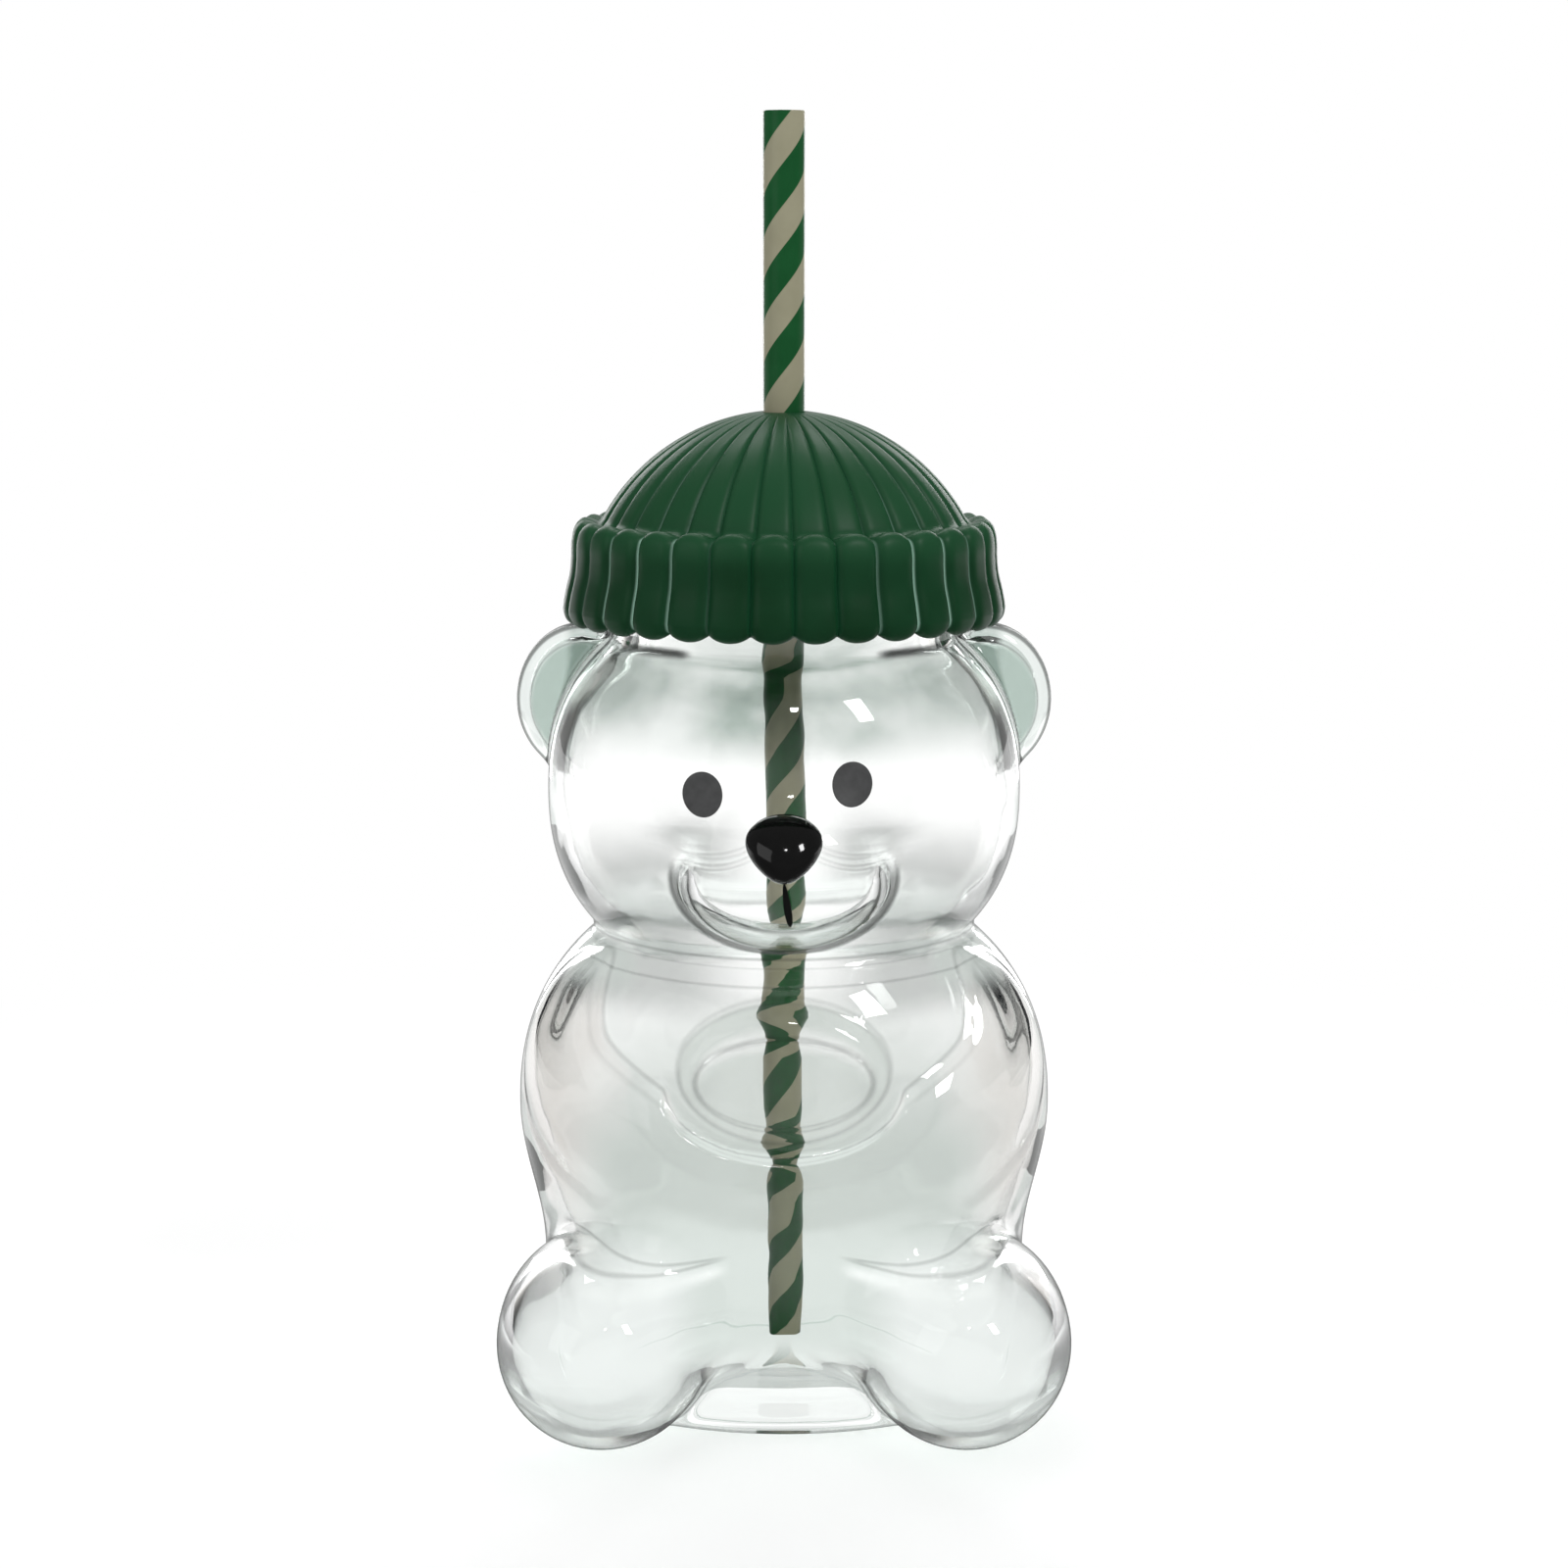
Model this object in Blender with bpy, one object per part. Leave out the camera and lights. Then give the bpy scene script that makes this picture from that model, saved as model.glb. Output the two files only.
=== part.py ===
"""Bear-shaped glass cup with a ribbed beanie lid and a drinking straw.

The cup is one blown glass vessel: a seated bear with a hollow torso and head, and
with ears, muzzle, arms and legs swelling out of it. The lid is a ribbed beanie
moulding over an insert whose skirt carries a silicone seal into the round mouth.
The straw slides and turns in a soft grommet at the insert's centre.

Units are metres, +Z is up and the bear looks along -Y. The floor is z = 0, and the
origin is under the middle of the bear's whole depth, so the vessel's own axis
stands a little behind it.
"""

import math

import bmesh
import bpy
from mathutils import Matrix, Vector

# Fits between neighbouring pieces.
FIT_GAP = 0.0003
RUNNING_GAP = 0.0002

# Glass vessel: torso, hips and foot ring.
WALL = 0.0030
TORSO_HALF_WIDTH = 0.0490
TORSO_WIDEST_Z = 0.0540
TORSO_TOP_RISE = 0.0435
TORSO_SQUARENESS = 2.2
HIP_HALF_WIDTH = 0.0445
HIP_Z = 0.0260
BASE_CORNER = 0.0065
FOOT_RING_WIDTH = 0.0045
FLOOR_THICKNESS = 0.0075
FLOOR_CORNER = 0.0060
PUNT_STEP = 0.0012
PUNT_HEIGHT = 0.0030
PUNT_RADIUS = 0.0190
PUNT_DRAFT = 0.0008
TORSO_DEPTH_SHARE = 0.875

# Head and mouth of the vessel.
HEAD_HALF_WIDTH = 0.0432
HEAD_WIDEST_Z = 0.1120
HEAD_HALF_HEIGHT = 0.0363
HEAD_SQUARENESS = 2.3
HEAD_DEPTH_SHARE = 0.93
MOUTH_OUTER_RADIUS = 0.0310
RIM_Z = 0.1510
RIM_ROUNDING = 0.0010

# Ears, muzzle, arms and legs: centre and half sizes, for the side at +X.
EAR_CENTRE = (0.0372, 0.0080, 0.1276)
EAR_HALF_SIZE = (0.0122, 0.0048, 0.0140)
EAR_FLATNESS = 3.2
MUZZLE_CENTRE = (0.0, -0.0340, 0.1015)
MUZZLE_HALF_SIZE = (0.0187, 0.0145, 0.0125)
MUZZLE_SQUARENESS = 2.5
LEG_CENTRE = (0.0320, -0.0310, 0.0178)
LEG_HALF_SIZE = (0.0192, 0.0290, 0.0182)
LEG_SQUARENESS = 2.3

# Arms hug the torso until the paws meet in front: turn from the side, and height.
ARM_SHOULDER = (math.radians(36), 0.0820)
ARM_ELBOW = (math.radians(18), 0.0520)
ARM_PAW = (math.radians(92), 0.0425)
ARM_BREADTH = 0.0120
ARM_THICKNESS = 0.0084
ARM_SINK = 0.0046
ARM_END_SQUARENESS = 4.0

# Oval panel on the chest: a raised frame round a dished middle.
PANEL_CENTRE_Z = 0.0675
PANEL_HALF_WIDTH = 0.0184
PANEL_HALF_HEIGHT = 0.0118
PANEL_FRAME_WIDTH = 0.0028
PANEL_FRAME_HEIGHT = 0.0040
PANEL_RISE = 0.0015
PANEL_DISH = 0.0004
PANEL_DISH_DROP = 0.0018

# Printed and moulded face.
PRINT_THICKNESS = 0.0004
EYE_HALF_WIDTH = 0.0035
EYE_HALF_HEIGHT = 0.0038
LEFT_EYE = (-0.0141, 0.1168)
RIGHT_EYE = (0.0118, 0.1186)
NOSE_HALF_WIDTH = 0.0066
NOSE_HALF_HEIGHT = 0.0055
NOSE_DEPTH = 0.0046
NOSE_CENTRE = (0.0, -0.0464, 0.1086)
NOSE_LEAN = 0.60
NOSE_TAPER = 0.50
NOSE_TAPER_POWER = 1.5
NOSE_TAPER_BALANCE = 0.3
MOUTH_LINE_LENGTH = 0.0075
MOUTH_LINE_LEAN = 0.0011
MOUTH_LINE_WIDTH = 0.0011

# Beanie lid: a ribbed dome over a folded, ribbed brim.
RIB_COUNT = 32
RIB_PHASE = math.radians(2.65)
RIB_FLATNESS = 2.2
BRIM_BOTTOM_Z = 0.1426
BRIM_TOP_Z = 0.1614
BRIM_STAND = 0.0010
BRIM_SWELL = 0.0015
BRIM_WALL = 0.0023
BRIM_BULGE_Z = 0.1453
BRIM_WAIST_Z = 0.1540
BRIM_ROLL = 0.0030
BRIM_TUCK = 0.0020
BRIM_TUCK_TURN = math.radians(50)
BRIM_LIP_RISE = 0.0006
BRIM_VALLEY_DROP = 0.0008
BRIM_RIB_DEPTH = 0.0011
SCALLOP_DEPTH = 0.0012
DOME_CENTRE_Z = 0.1433
DOME_RADIUS = 0.0377
DOME_RIB_DEPTH = 0.0008
DOME_RIB_FADE_RADIUS = 0.0080
LID_WALL = 0.0022

# Insert under the dome, its seal and its grommet.
FLANGE_THICKNESS = 0.0020
SKIRT_CLEARANCE = 0.0008
SKIRT_THICKNESS = 0.0026
SKIRT_LENGTH = 0.0086
SEAL_THICKNESS = 0.0016
SEAL_HEIGHT = 0.0034
SEAL_DROP = 0.0034
SEAL_LIP = 0.0004
SEAL_LIP_PLACE = 0.2
BOSS_WALL = 0.0016
BOSS_HEIGHT = 0.0110
GROMMET_WALL = 0.0016
GROMMET_FLANGE = 0.0014

# Straw.
STRAW_RADIUS = 0.00375
STRAW_WALL = 0.0006
STRAW_TOP_Z = 0.2342

# How finely each form is divided.
SHARP_ANGLE = math.radians(40)
SKIN_POINTS = 44
SKIN_ROWS = (7, 9, 8, 8)
FACE_ROWS = SKIN_ROWS[2:]
BASE_CORNER_SHARES = (0.0, 0.1, 0.4, 1.0)
CAVITY_POINTS = 32
CAVITY_ROWS = (5, 7, 6, 6)
FLOOR_CORNER_SHARES = (0.0, 0.3, 1.0)
LIMB_COUNTS = (20, 12)
EAR_COUNTS = (16, 10)
HOLLOW_LIMB_COUNTS = (12, 8)
HOLLOW_EAR_COUNTS = (8, 6)
PANEL_POINTS = 32
GUIDE_ROWS = 14
NOSE_POINTS = 16
NOSE_ROWS = 10
EYE_POINTS = 24
LINE_POINTS = 10
RIB_POINTS = 3
BRIM_ROWS = 4
DOME_ROWS = 6
TURNED_POINTS = 36
SMALL_TURNED_POINTS = 24
CROSSING_STEPS = 40

# The origin lies midway between the feet's soles and the back of the torso.
FRONT_REACH = LEG_HALF_SIZE[1] - LEG_CENTRE[1]
BACK_REACH = TORSO_HALF_WIDTH * TORSO_DEPTH_SHARE
AXIS_Y = 0.5 * (FRONT_REACH - BACK_REACH)

# Heights and radii that follow from the fits.
BRIM_WAIST_RADIUS = DOME_RADIUS + BRIM_STAND
BRIM_BULGE_RADIUS = BRIM_WAIST_RADIUS + BRIM_SWELL
LID_INNER_RADIUS = BRIM_WAIST_RADIUS - BRIM_WALL
MOUTH_RADIUS = MOUTH_OUTER_RADIUS - WALL
FLANGE_Z = RIM_Z + FIT_GAP
LEDGE_Z = FLANGE_Z + FLANGE_THICKNESS + FIT_GAP
GROMMET_BORE = STRAW_RADIUS + RUNNING_GAP
GROMMET_RADIUS = GROMMET_BORE + GROMMET_WALL
BOSS_BORE = GROMMET_RADIUS + FIT_GAP
BOSS_RADIUS = BOSS_BORE + BOSS_WALL
BOSS_TOP_Z = FLANGE_Z + FLANGE_THICKNESS + BOSS_HEIGHT
LID_HOLE_RADIUS = STRAW_RADIUS + FIT_GAP
STRAW_BOTTOM_Z = FLOOR_THICKNESS + FIT_GAP
NOSE_BOTTOM_Z = NOSE_CENTRE[2] - NOSE_HALF_HEIGHT
MOUTH_LINE_TOP_Z = NOSE_BOTTOM_Z - FIT_GAP - 0.5 * MOUTH_LINE_WIDTH


def clear_scene():
    for item in list(bpy.data.objects):
        bpy.data.objects.remove(item, do_unlink=True)


def material(name, colour, roughness, metallic=0.0, transmission=0.0):
    """Principled material with the given finish."""
    made = bpy.data.materials.new(name)
    made.use_nodes = True
    shader = made.node_tree.nodes["Principled BSDF"]
    shader.inputs["Base Color"].default_value = (*colour, 1.0)
    shader.inputs["Roughness"].default_value = roughness
    shader.inputs["Metallic"].default_value = metallic
    shader.inputs["Transmission Weight"].default_value = transmission
    return made


def add_object(name, mesh_data, finish=None):
    """Link a finished bmesh as a named object, smooth where it is round."""
    if mesh_data.calc_volume(signed=True) < 0.0:
        bmesh.ops.reverse_faces(mesh_data, faces=mesh_data.faces)
    mesh = bpy.data.meshes.new(name)
    mesh_data.to_mesh(mesh)
    mesh_data.free()
    mesh.shade_smooth()
    mesh.set_sharp_from_angle(angle=SHARP_ANGLE)
    made = bpy.data.objects.new(name, mesh)
    bpy.context.collection.objects.link(made)
    if finish is not None:
        mesh.materials.append(finish)
    return made


def as_cutter(made):
    """Keep an object as a guide that is not part of the model."""
    made.hide_render = True
    made.display_type = "WIRE"
    return made


def combine(target, other, operation):
    """Add a live Boolean of another object to the target."""
    boolean = target.modifiers.new(operation.title() + "_" + other.name, "BOOLEAN")
    boolean.operation = operation
    boolean.object = other
    boolean.solver = "EXACT"
    as_cutter(other)


def skin_through(rings):
    """Closed skin through rings of points, each ring ending the next stretch."""
    body = bmesh.new()
    loops = []
    for ring in rings:
        loops.append([body.verts.new(point) for point in ring])
    for lower, upper in zip(loops, loops[1:]):
        for index in range(len(lower)):
            after = (index + 1) % len(lower)
            body.faces.new((lower[index], lower[after], upper[after], upper[index]))
    body.faces.new(list(reversed(loops[0])))
    body.faces.new(loops[-1])
    return body


def turned(name, outline, points, finish=None):
    """Ring-shaped solid: a closed (radius, height) outline spun about the axis."""
    body = bmesh.new()
    corners = [body.verts.new((radius, AXIS_Y, height)) for radius, height in outline]
    edges = []
    for index, corner in enumerate(corners):
        edges.append(body.edges.new((corner, corners[(index + 1) % len(corners)])))
    bmesh.ops.spin(
        body,
        geom=corners + edges,
        cent=(0.0, AXIS_Y, 0.0),
        axis=(0.0, 0.0, 1.0),
        angle=math.tau,
        steps=points,
        use_merge=True,
    )
    return add_object(name, body, finish)


def swell(share, squareness):
    """Half breadth of a superellipse at a share of its height, 0 to 1."""
    return max(1.0 - abs(share) ** squareness, 0.0) ** (1.0 / squareness)


def torso_half_width(height, inset):
    """Torso outline: swelled above its widest height, eased in to the hips below."""
    if height >= TORSO_WIDEST_Z:
        share = (height - TORSO_WIDEST_Z) / (TORSO_TOP_RISE - inset)
        return (TORSO_HALF_WIDTH - inset) * swell(min(share, 1.0), TORSO_SQUARENESS)
    share = min((TORSO_WIDEST_Z - height) / (TORSO_WIDEST_Z - HIP_Z), 1.0)
    ease = 0.5 + 0.5 * math.cos(math.pi * share)
    return HIP_HALF_WIDTH + (TORSO_HALF_WIDTH - HIP_HALF_WIDTH) * ease - inset


def head_half_width(height, inset):
    """Head outline: a superellipse about its widest height."""
    share = (height - HEAD_WIDEST_Z) / (HEAD_HALF_HEIGHT - inset)
    return (HEAD_HALF_WIDTH - inset) * swell(min(max(share, -1.0), 1.0), HEAD_SQUARENESS)


def corner_inset(height, floor, corner):
    """How far a rounded bottom corner draws the outline in at a height."""
    below = corner - (height - floor)
    if below <= 0.0:
        return 0.0
    return corner - math.sqrt(max(corner * corner - below * below, 0.0))


def vessel_ring(height, inset, points, neck_radius, floor, corner):
    """One level of the vessel: the widest of torso, head and round neck."""
    drawn_in = corner_inset(height, floor, corner)
    torso = torso_half_width(height, inset) - drawn_in
    head = head_half_width(height, inset)
    share = HEAD_DEPTH_SHARE
    half_width = head
    if torso > head:
        share = TORSO_DEPTH_SHARE
        half_width = torso
    ring = []
    for index in range(points):
        angle = math.tau * index / points
        across = half_width * math.cos(angle)
        along = half_width * share * math.sin(angle)
        if height > HEAD_WIDEST_Z and math.hypot(across, along) < neck_radius:
            across = neck_radius * math.cos(angle)
            along = neck_radius * math.sin(angle)
        ring.append((across, AXIS_Y + along, height))
    return ring


def spread(start, end, count):
    """Evenly spread values from start to end, both included."""
    return [start + (end - start) * index / (count - 1) for index in range(count)]


def row_heights(levels, counts):
    """Heights after the first level, with a count of rows for each stretch."""
    heights = []
    for low, high, count in zip(levels, levels[1:], counts):
        heights += spread(low, high, count)[1:]
    return heights


def neck_crease_z(inset):
    """Height where the torso and head outlines cross."""
    low = TORSO_WIDEST_Z
    high = HEAD_WIDEST_Z
    for _ in range(CROSSING_STEPS):
        middle = 0.5 * (low + high)
        if torso_half_width(middle, inset) > head_half_width(middle, inset):
            low = middle
        else:
            high = middle
    return 0.5 * (low + high)


def shoulder_z(radius, inset):
    """Height where the head closes in to the neck's radius."""
    low = HEAD_WIDEST_Z
    high = HEAD_WIDEST_Z + HEAD_HALF_HEIGHT - inset
    for _ in range(CROSSING_STEPS):
        middle = 0.5 * (low + high)
        if head_half_width(middle, inset) > radius:
            low = middle
        else:
            high = middle
    return 0.5 * (low + high)


def level_ring(radius, height, points, flare=1.0):
    """Round ring about the vessel's axis, or an oval one with the torso's depth."""
    ring = []
    for index in range(points):
        angle = math.tau * index / points
        across = radius * math.cos(angle)
        along = radius * flare * math.sin(angle)
        ring.append((across, AXIS_Y + along, height))
    return ring


def lobe(name, centre, half_size, squareness, segments, rows):
    """Swelled ball with its poles along Y, pushed out to a superellipsoid, flat at the floor."""
    body = bmesh.new()
    bmesh.ops.create_uvsphere(body, u_segments=segments, v_segments=rows, radius=1.0)
    for vertex in body.verts:
        x, z, y = vertex.co
        size = (math.hypot(x, z) ** squareness + abs(y) ** squareness) ** (1.0 / squareness)
        vertex.co = Vector((
            centre[0] + half_size[0] * x / size,
            AXIS_Y + centre[1] + half_size[1] * y / size,
            max(centre[2] + half_size[2] * z / size, 0.0),
        ))
    return add_object(name, body)


def mirrored(centre, side):
    return (centre[0] * side, centre[1], centre[2])


def shrunk(half_size, inset):
    return tuple(size - inset for size in half_size)


def torso_point(turn, height, inset):
    """Point of the torso at a turn from its side to its front, and the way out there."""
    across = math.cos(turn)
    along = -TORSO_DEPTH_SHARE * math.sin(turn)
    reach = torso_half_width(height, inset)
    outward = Vector((TORSO_DEPTH_SHARE * across, -math.sin(turn), 0.0)).normalized()
    return Vector((reach * across, AXIS_Y + reach * along, height)), outward


def arm_point(share):
    """Point of the arm's middle line at a share of its length, and the way out there."""
    weights = ((1.0 - share) ** 2, 2.0 * share * (1.0 - share), share ** 2)
    turn = 0.0
    height = 0.0
    for weight, place in zip(weights, (ARM_SHOULDER, ARM_ELBOW, ARM_PAW)):
        turn += weight * place[0]
        height += weight * place[1]
    return torso_point(turn, height, ARM_SINK)


def arm(name, side, inset, stations, points):
    """Arm: flattened rings carried along the torso from shoulder round to paw."""
    rings = []
    step = 0.1 / stations
    for index in range(stations):
        share = 0.5 - 0.5 * math.cos(math.pi * (index + 0.5) / stations)
        centre, outward = arm_point(share)
        heading = (arm_point(share + step)[0] - arm_point(share - step)[0]).normalized()
        sideways = heading.cross(outward).normalized()
        outward = sideways.cross(heading)
        rounding = swell(2.0 * share - 1.0, ARM_END_SQUARENESS)
        breadth = (ARM_BREADTH - inset) * rounding
        thickness = (ARM_THICKNESS - inset) * rounding
        ring = []
        for corner in range(points):
            angle = math.tau * (corner + 0.5) / points
            point = centre + outward * thickness * math.cos(angle)
            point += sideways * breadth * math.sin(angle)
            ring.append((side * point.x, point.y, point.z))
        rings.append(ring)
    return add_object(name, skin_through(rings))


def limbs(prefix, inset, counts, ear_counts):
    """Muzzle, ears, arms and legs, drawn in by the wall for the cavity."""
    made = [lobe(prefix + "_muzzle", MUZZLE_CENTRE, shrunk(MUZZLE_HALF_SIZE, inset),
                 MUZZLE_SQUARENESS, *counts)]
    for label, side in (("left", -1), ("right", 1)):
        made.append(lobe(prefix + "_ear_" + label, mirrored(EAR_CENTRE, side),
                         shrunk(EAR_HALF_SIZE, inset), EAR_FLATNESS, *ear_counts))
        made.append(arm(prefix + "_arm_" + label, side, inset, counts[1], ear_counts[0]))
        made.append(lobe(prefix + "_leg_" + label, mirrored(LEG_CENTRE, side),
                         shrunk(LEG_HALF_SIZE, inset), LEG_SQUARENESS, *counts))
    return made


def oval_plug(name, centre, half_width, half_height, front_y, back_y, points):
    """Straight oval plug along Y, with its centre given across and in height."""
    rings = []
    for reach in (back_y, front_y):
        ring = []
        for index in range(points):
            angle = math.tau * (index + 0.5) / points
            ring.append((
                centre[0] + half_width * math.cos(angle),
                AXIS_Y + reach,
                centre[1] + half_height * math.sin(angle),
            ))
        rings.append(ring)
    return add_object(name, skin_through(rings))


def torso_skin(name, inset):
    """Guide shaped like the torso from hip to neck, drawn in by the inset."""
    rings = []
    for height in spread(HIP_Z, neck_crease_z(0.0), GUIDE_ROWS):
        rings.append(vessel_ring(height, inset, SKIN_POINTS, MOUTH_OUTER_RADIUS, 0.0, 0.0))
    return as_cutter(add_object(name, skin_through(rings)))


def add_panel(glass):
    """Chest panel: an oval pad raised on the torso, with a dished middle."""
    chest_y = -TORSO_HALF_WIDTH * TORSO_DEPTH_SHARE
    pad = oval_plug("panel_pad", (0.0, PANEL_CENTRE_Z), PANEL_HALF_WIDTH,
                    PANEL_HALF_HEIGHT, chest_y - 2.0 * PANEL_RISE, 0.5 * (chest_y + WALL),
                    PANEL_POINTS)
    combine(pad, torso_skin("panel_face", -PANEL_RISE), "INTERSECT")
    combine(glass, pad, "UNION")
    dish = oval_plug("panel_dish", (0.0, PANEL_CENTRE_Z - PANEL_DISH_DROP),
                     PANEL_HALF_WIDTH - PANEL_FRAME_WIDTH,
                     PANEL_HALF_HEIGHT - PANEL_FRAME_HEIGHT, chest_y - 2.0 * PANEL_RISE,
                     0.5 * chest_y, PANEL_POINTS)
    combine(dish, torso_skin("panel_floor", PANEL_DISH), "DIFFERENCE")
    combine(glass, dish, "DIFFERENCE")


def build_glass(finish):
    """Vessel: lofted outer skin with its limbs, less the same form drawn in by the wall."""
    crease = neck_crease_z(0.0)
    shoulder = shoulder_z(MOUTH_OUTER_RADIUS, 0.0)
    base_half_width = HIP_HALF_WIDTH - BASE_CORNER
    rings = [
        level_ring(PUNT_RADIUS - PUNT_DRAFT, PUNT_HEIGHT, SKIN_POINTS, TORSO_DEPTH_SHARE),
        level_ring(PUNT_RADIUS, PUNT_STEP, SKIN_POINTS, TORSO_DEPTH_SHARE),
        level_ring(base_half_width - FOOT_RING_WIDTH - PUNT_STEP, PUNT_STEP, SKIN_POINTS,
                   TORSO_DEPTH_SHARE),
        level_ring(base_half_width - FOOT_RING_WIDTH, 0.0, SKIN_POINTS, TORSO_DEPTH_SHARE),
    ]
    levels = (BASE_CORNER, TORSO_WIDEST_Z, crease, HEAD_WIDEST_Z, shoulder)
    heights = [BASE_CORNER * share for share in BASE_CORNER_SHARES]
    heights += row_heights(levels, SKIN_ROWS) + [RIM_Z - RIM_ROUNDING]
    for height in heights:
        rings.append(vessel_ring(height, 0.0, SKIN_POINTS, MOUTH_OUTER_RADIUS, 0.0, BASE_CORNER))
    rings.append(level_ring(MOUTH_OUTER_RADIUS - RIM_ROUNDING, RIM_Z, SKIN_POINTS))
    glass = add_object("glass_bear", skin_through(rings), finish)

    for limb in limbs("limb", 0.0, LIMB_COUNTS, EAR_COUNTS):
        combine(glass, limb, "UNION")
    add_panel(glass)

    crease = neck_crease_z(WALL)
    bore = MOUTH_OUTER_RADIUS - WALL
    shoulder = shoulder_z(bore, WALL)
    levels = (FLOOR_THICKNESS + FLOOR_CORNER, TORSO_WIDEST_Z, crease, HEAD_WIDEST_Z, shoulder)
    heights = [FLOOR_THICKNESS + FLOOR_CORNER * share for share in FLOOR_CORNER_SHARES]
    heights += row_heights(levels, CAVITY_ROWS) + [RIM_Z - RIM_ROUNDING]
    rings = []
    for height in heights:
        rings.append(vessel_ring(height, WALL, CAVITY_POINTS, bore, FLOOR_THICKNESS, FLOOR_CORNER))
    rings.append(level_ring(bore + 2.0 * RIM_ROUNDING, RIM_Z + RIM_ROUNDING, CAVITY_POINTS))
    cavity = add_object("cavity", skin_through(rings))
    for limb in limbs("hollow", WALL, HOLLOW_LIMB_COUNTS, HOLLOW_EAR_COUNTS):
        combine(cavity, limb, "UNION")
    combine(glass, cavity, "DIFFERENCE")


def face_skin(name, outset):
    """Guide for the face: head and muzzle swelled outwards by a gap."""
    crease = neck_crease_z(0.0)
    shoulder = shoulder_z(MOUTH_OUTER_RADIUS, 0.0)
    rings = []
    for height in [crease] + row_heights((crease, HEAD_WIDEST_Z, shoulder), FACE_ROWS):
        rings.append(vessel_ring(height, -outset, SKIN_POINTS, MOUTH_OUTER_RADIUS, 0.0, 0.0))
    skin = as_cutter(add_object(name, skin_through(rings)))
    muzzle = lobe(name + "_muzzle", MUZZLE_CENTRE, shrunk(MUZZLE_HALF_SIZE, -outset),
                  MUZZLE_SQUARENESS, *LIMB_COUNTS)
    combine(skin, muzzle, "UNION")
    return skin


def stretch_line(line):
    """Pull a short plug's two halves apart to the mouth line's ends."""
    for vertex in line.data.vertices:
        if vertex.co.z > 0.0:
            vertex.co.z += MOUTH_LINE_TOP_Z
        else:
            vertex.co.z += MOUTH_LINE_TOP_Z - MOUTH_LINE_LENGTH
            vertex.co.x += MOUTH_LINE_LEAN


def build_face(ink, gloss):
    """Printed eyes and mouth line, and the moulded nose, all seated on the glass."""
    seat = face_skin("face_seat", FIT_GAP)
    surface = face_skin("face_surface", FIT_GAP + PRINT_THICKNESS)
    front_y = MUZZLE_CENTRE[1] - 2.0 * MUZZLE_HALF_SIZE[1]
    back_y = 0.5 * front_y
    line_radius = 0.5 * MOUTH_LINE_WIDTH
    line = oval_plug("mouth_line", (0.0, 0.0), line_radius, line_radius, front_y, back_y,
                     LINE_POINTS)
    stretch_line(line)
    prints = [line]
    for name, centre in (("eye_left", LEFT_EYE), ("eye_right", RIGHT_EYE)):
        prints.append(oval_plug(name, centre, EYE_HALF_WIDTH, EYE_HALF_HEIGHT,
                                front_y, back_y, EYE_POINTS))
    for made in prints:
        made.data.materials.append(ink)
        combine(made, surface, "INTERSECT")
        combine(made, seat, "DIFFERENCE")

    half_size = (NOSE_HALF_WIDTH, NOSE_DEPTH, NOSE_HALF_HEIGHT)
    nose = lobe("nose", NOSE_CENTRE, half_size, 2.0, NOSE_POINTS, NOSE_ROWS)
    for vertex in nose.data.vertices:
        rise = vertex.co.z - NOSE_CENTRE[2]
        below = max(0.5 - 0.5 * rise / NOSE_HALF_HEIGHT, 0.0)
        vertex.co.x *= 1.0 + NOSE_TAPER * (NOSE_TAPER_BALANCE - below ** NOSE_TAPER_POWER)
        vertex.co.y += NOSE_LEAN * rise
    nose.data.materials.append(gloss)
    combine(nose, seat, "DIFFERENCE")


def rib_swell(angle):
    """Rise of a rib across its width: 0 in the creases, 1 along its crown."""
    place = angle / (math.tau / RIB_COUNT) % 1.0
    return 1.0 - abs(2.0 * place - 1.0) ** RIB_FLATNESS


def ribbed_ring(radius, height, depth, scallop=0.0):
    """Ring whose ribs sink to creases by the depth, and hang lower by the scallop."""
    ring = []
    for index in range(RIB_COUNT * RIB_POINTS):
        angle = math.tau * index / (RIB_COUNT * RIB_POINTS)
        fall = 1.0 - rib_swell(angle)
        reach = radius - depth * fall
        angle += RIB_PHASE - 0.5 * math.pi
        across = reach * math.cos(angle)
        along = reach * math.sin(angle)
        ring.append((across, AXIS_Y + along, height + scallop * fall))
    return ring


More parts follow.
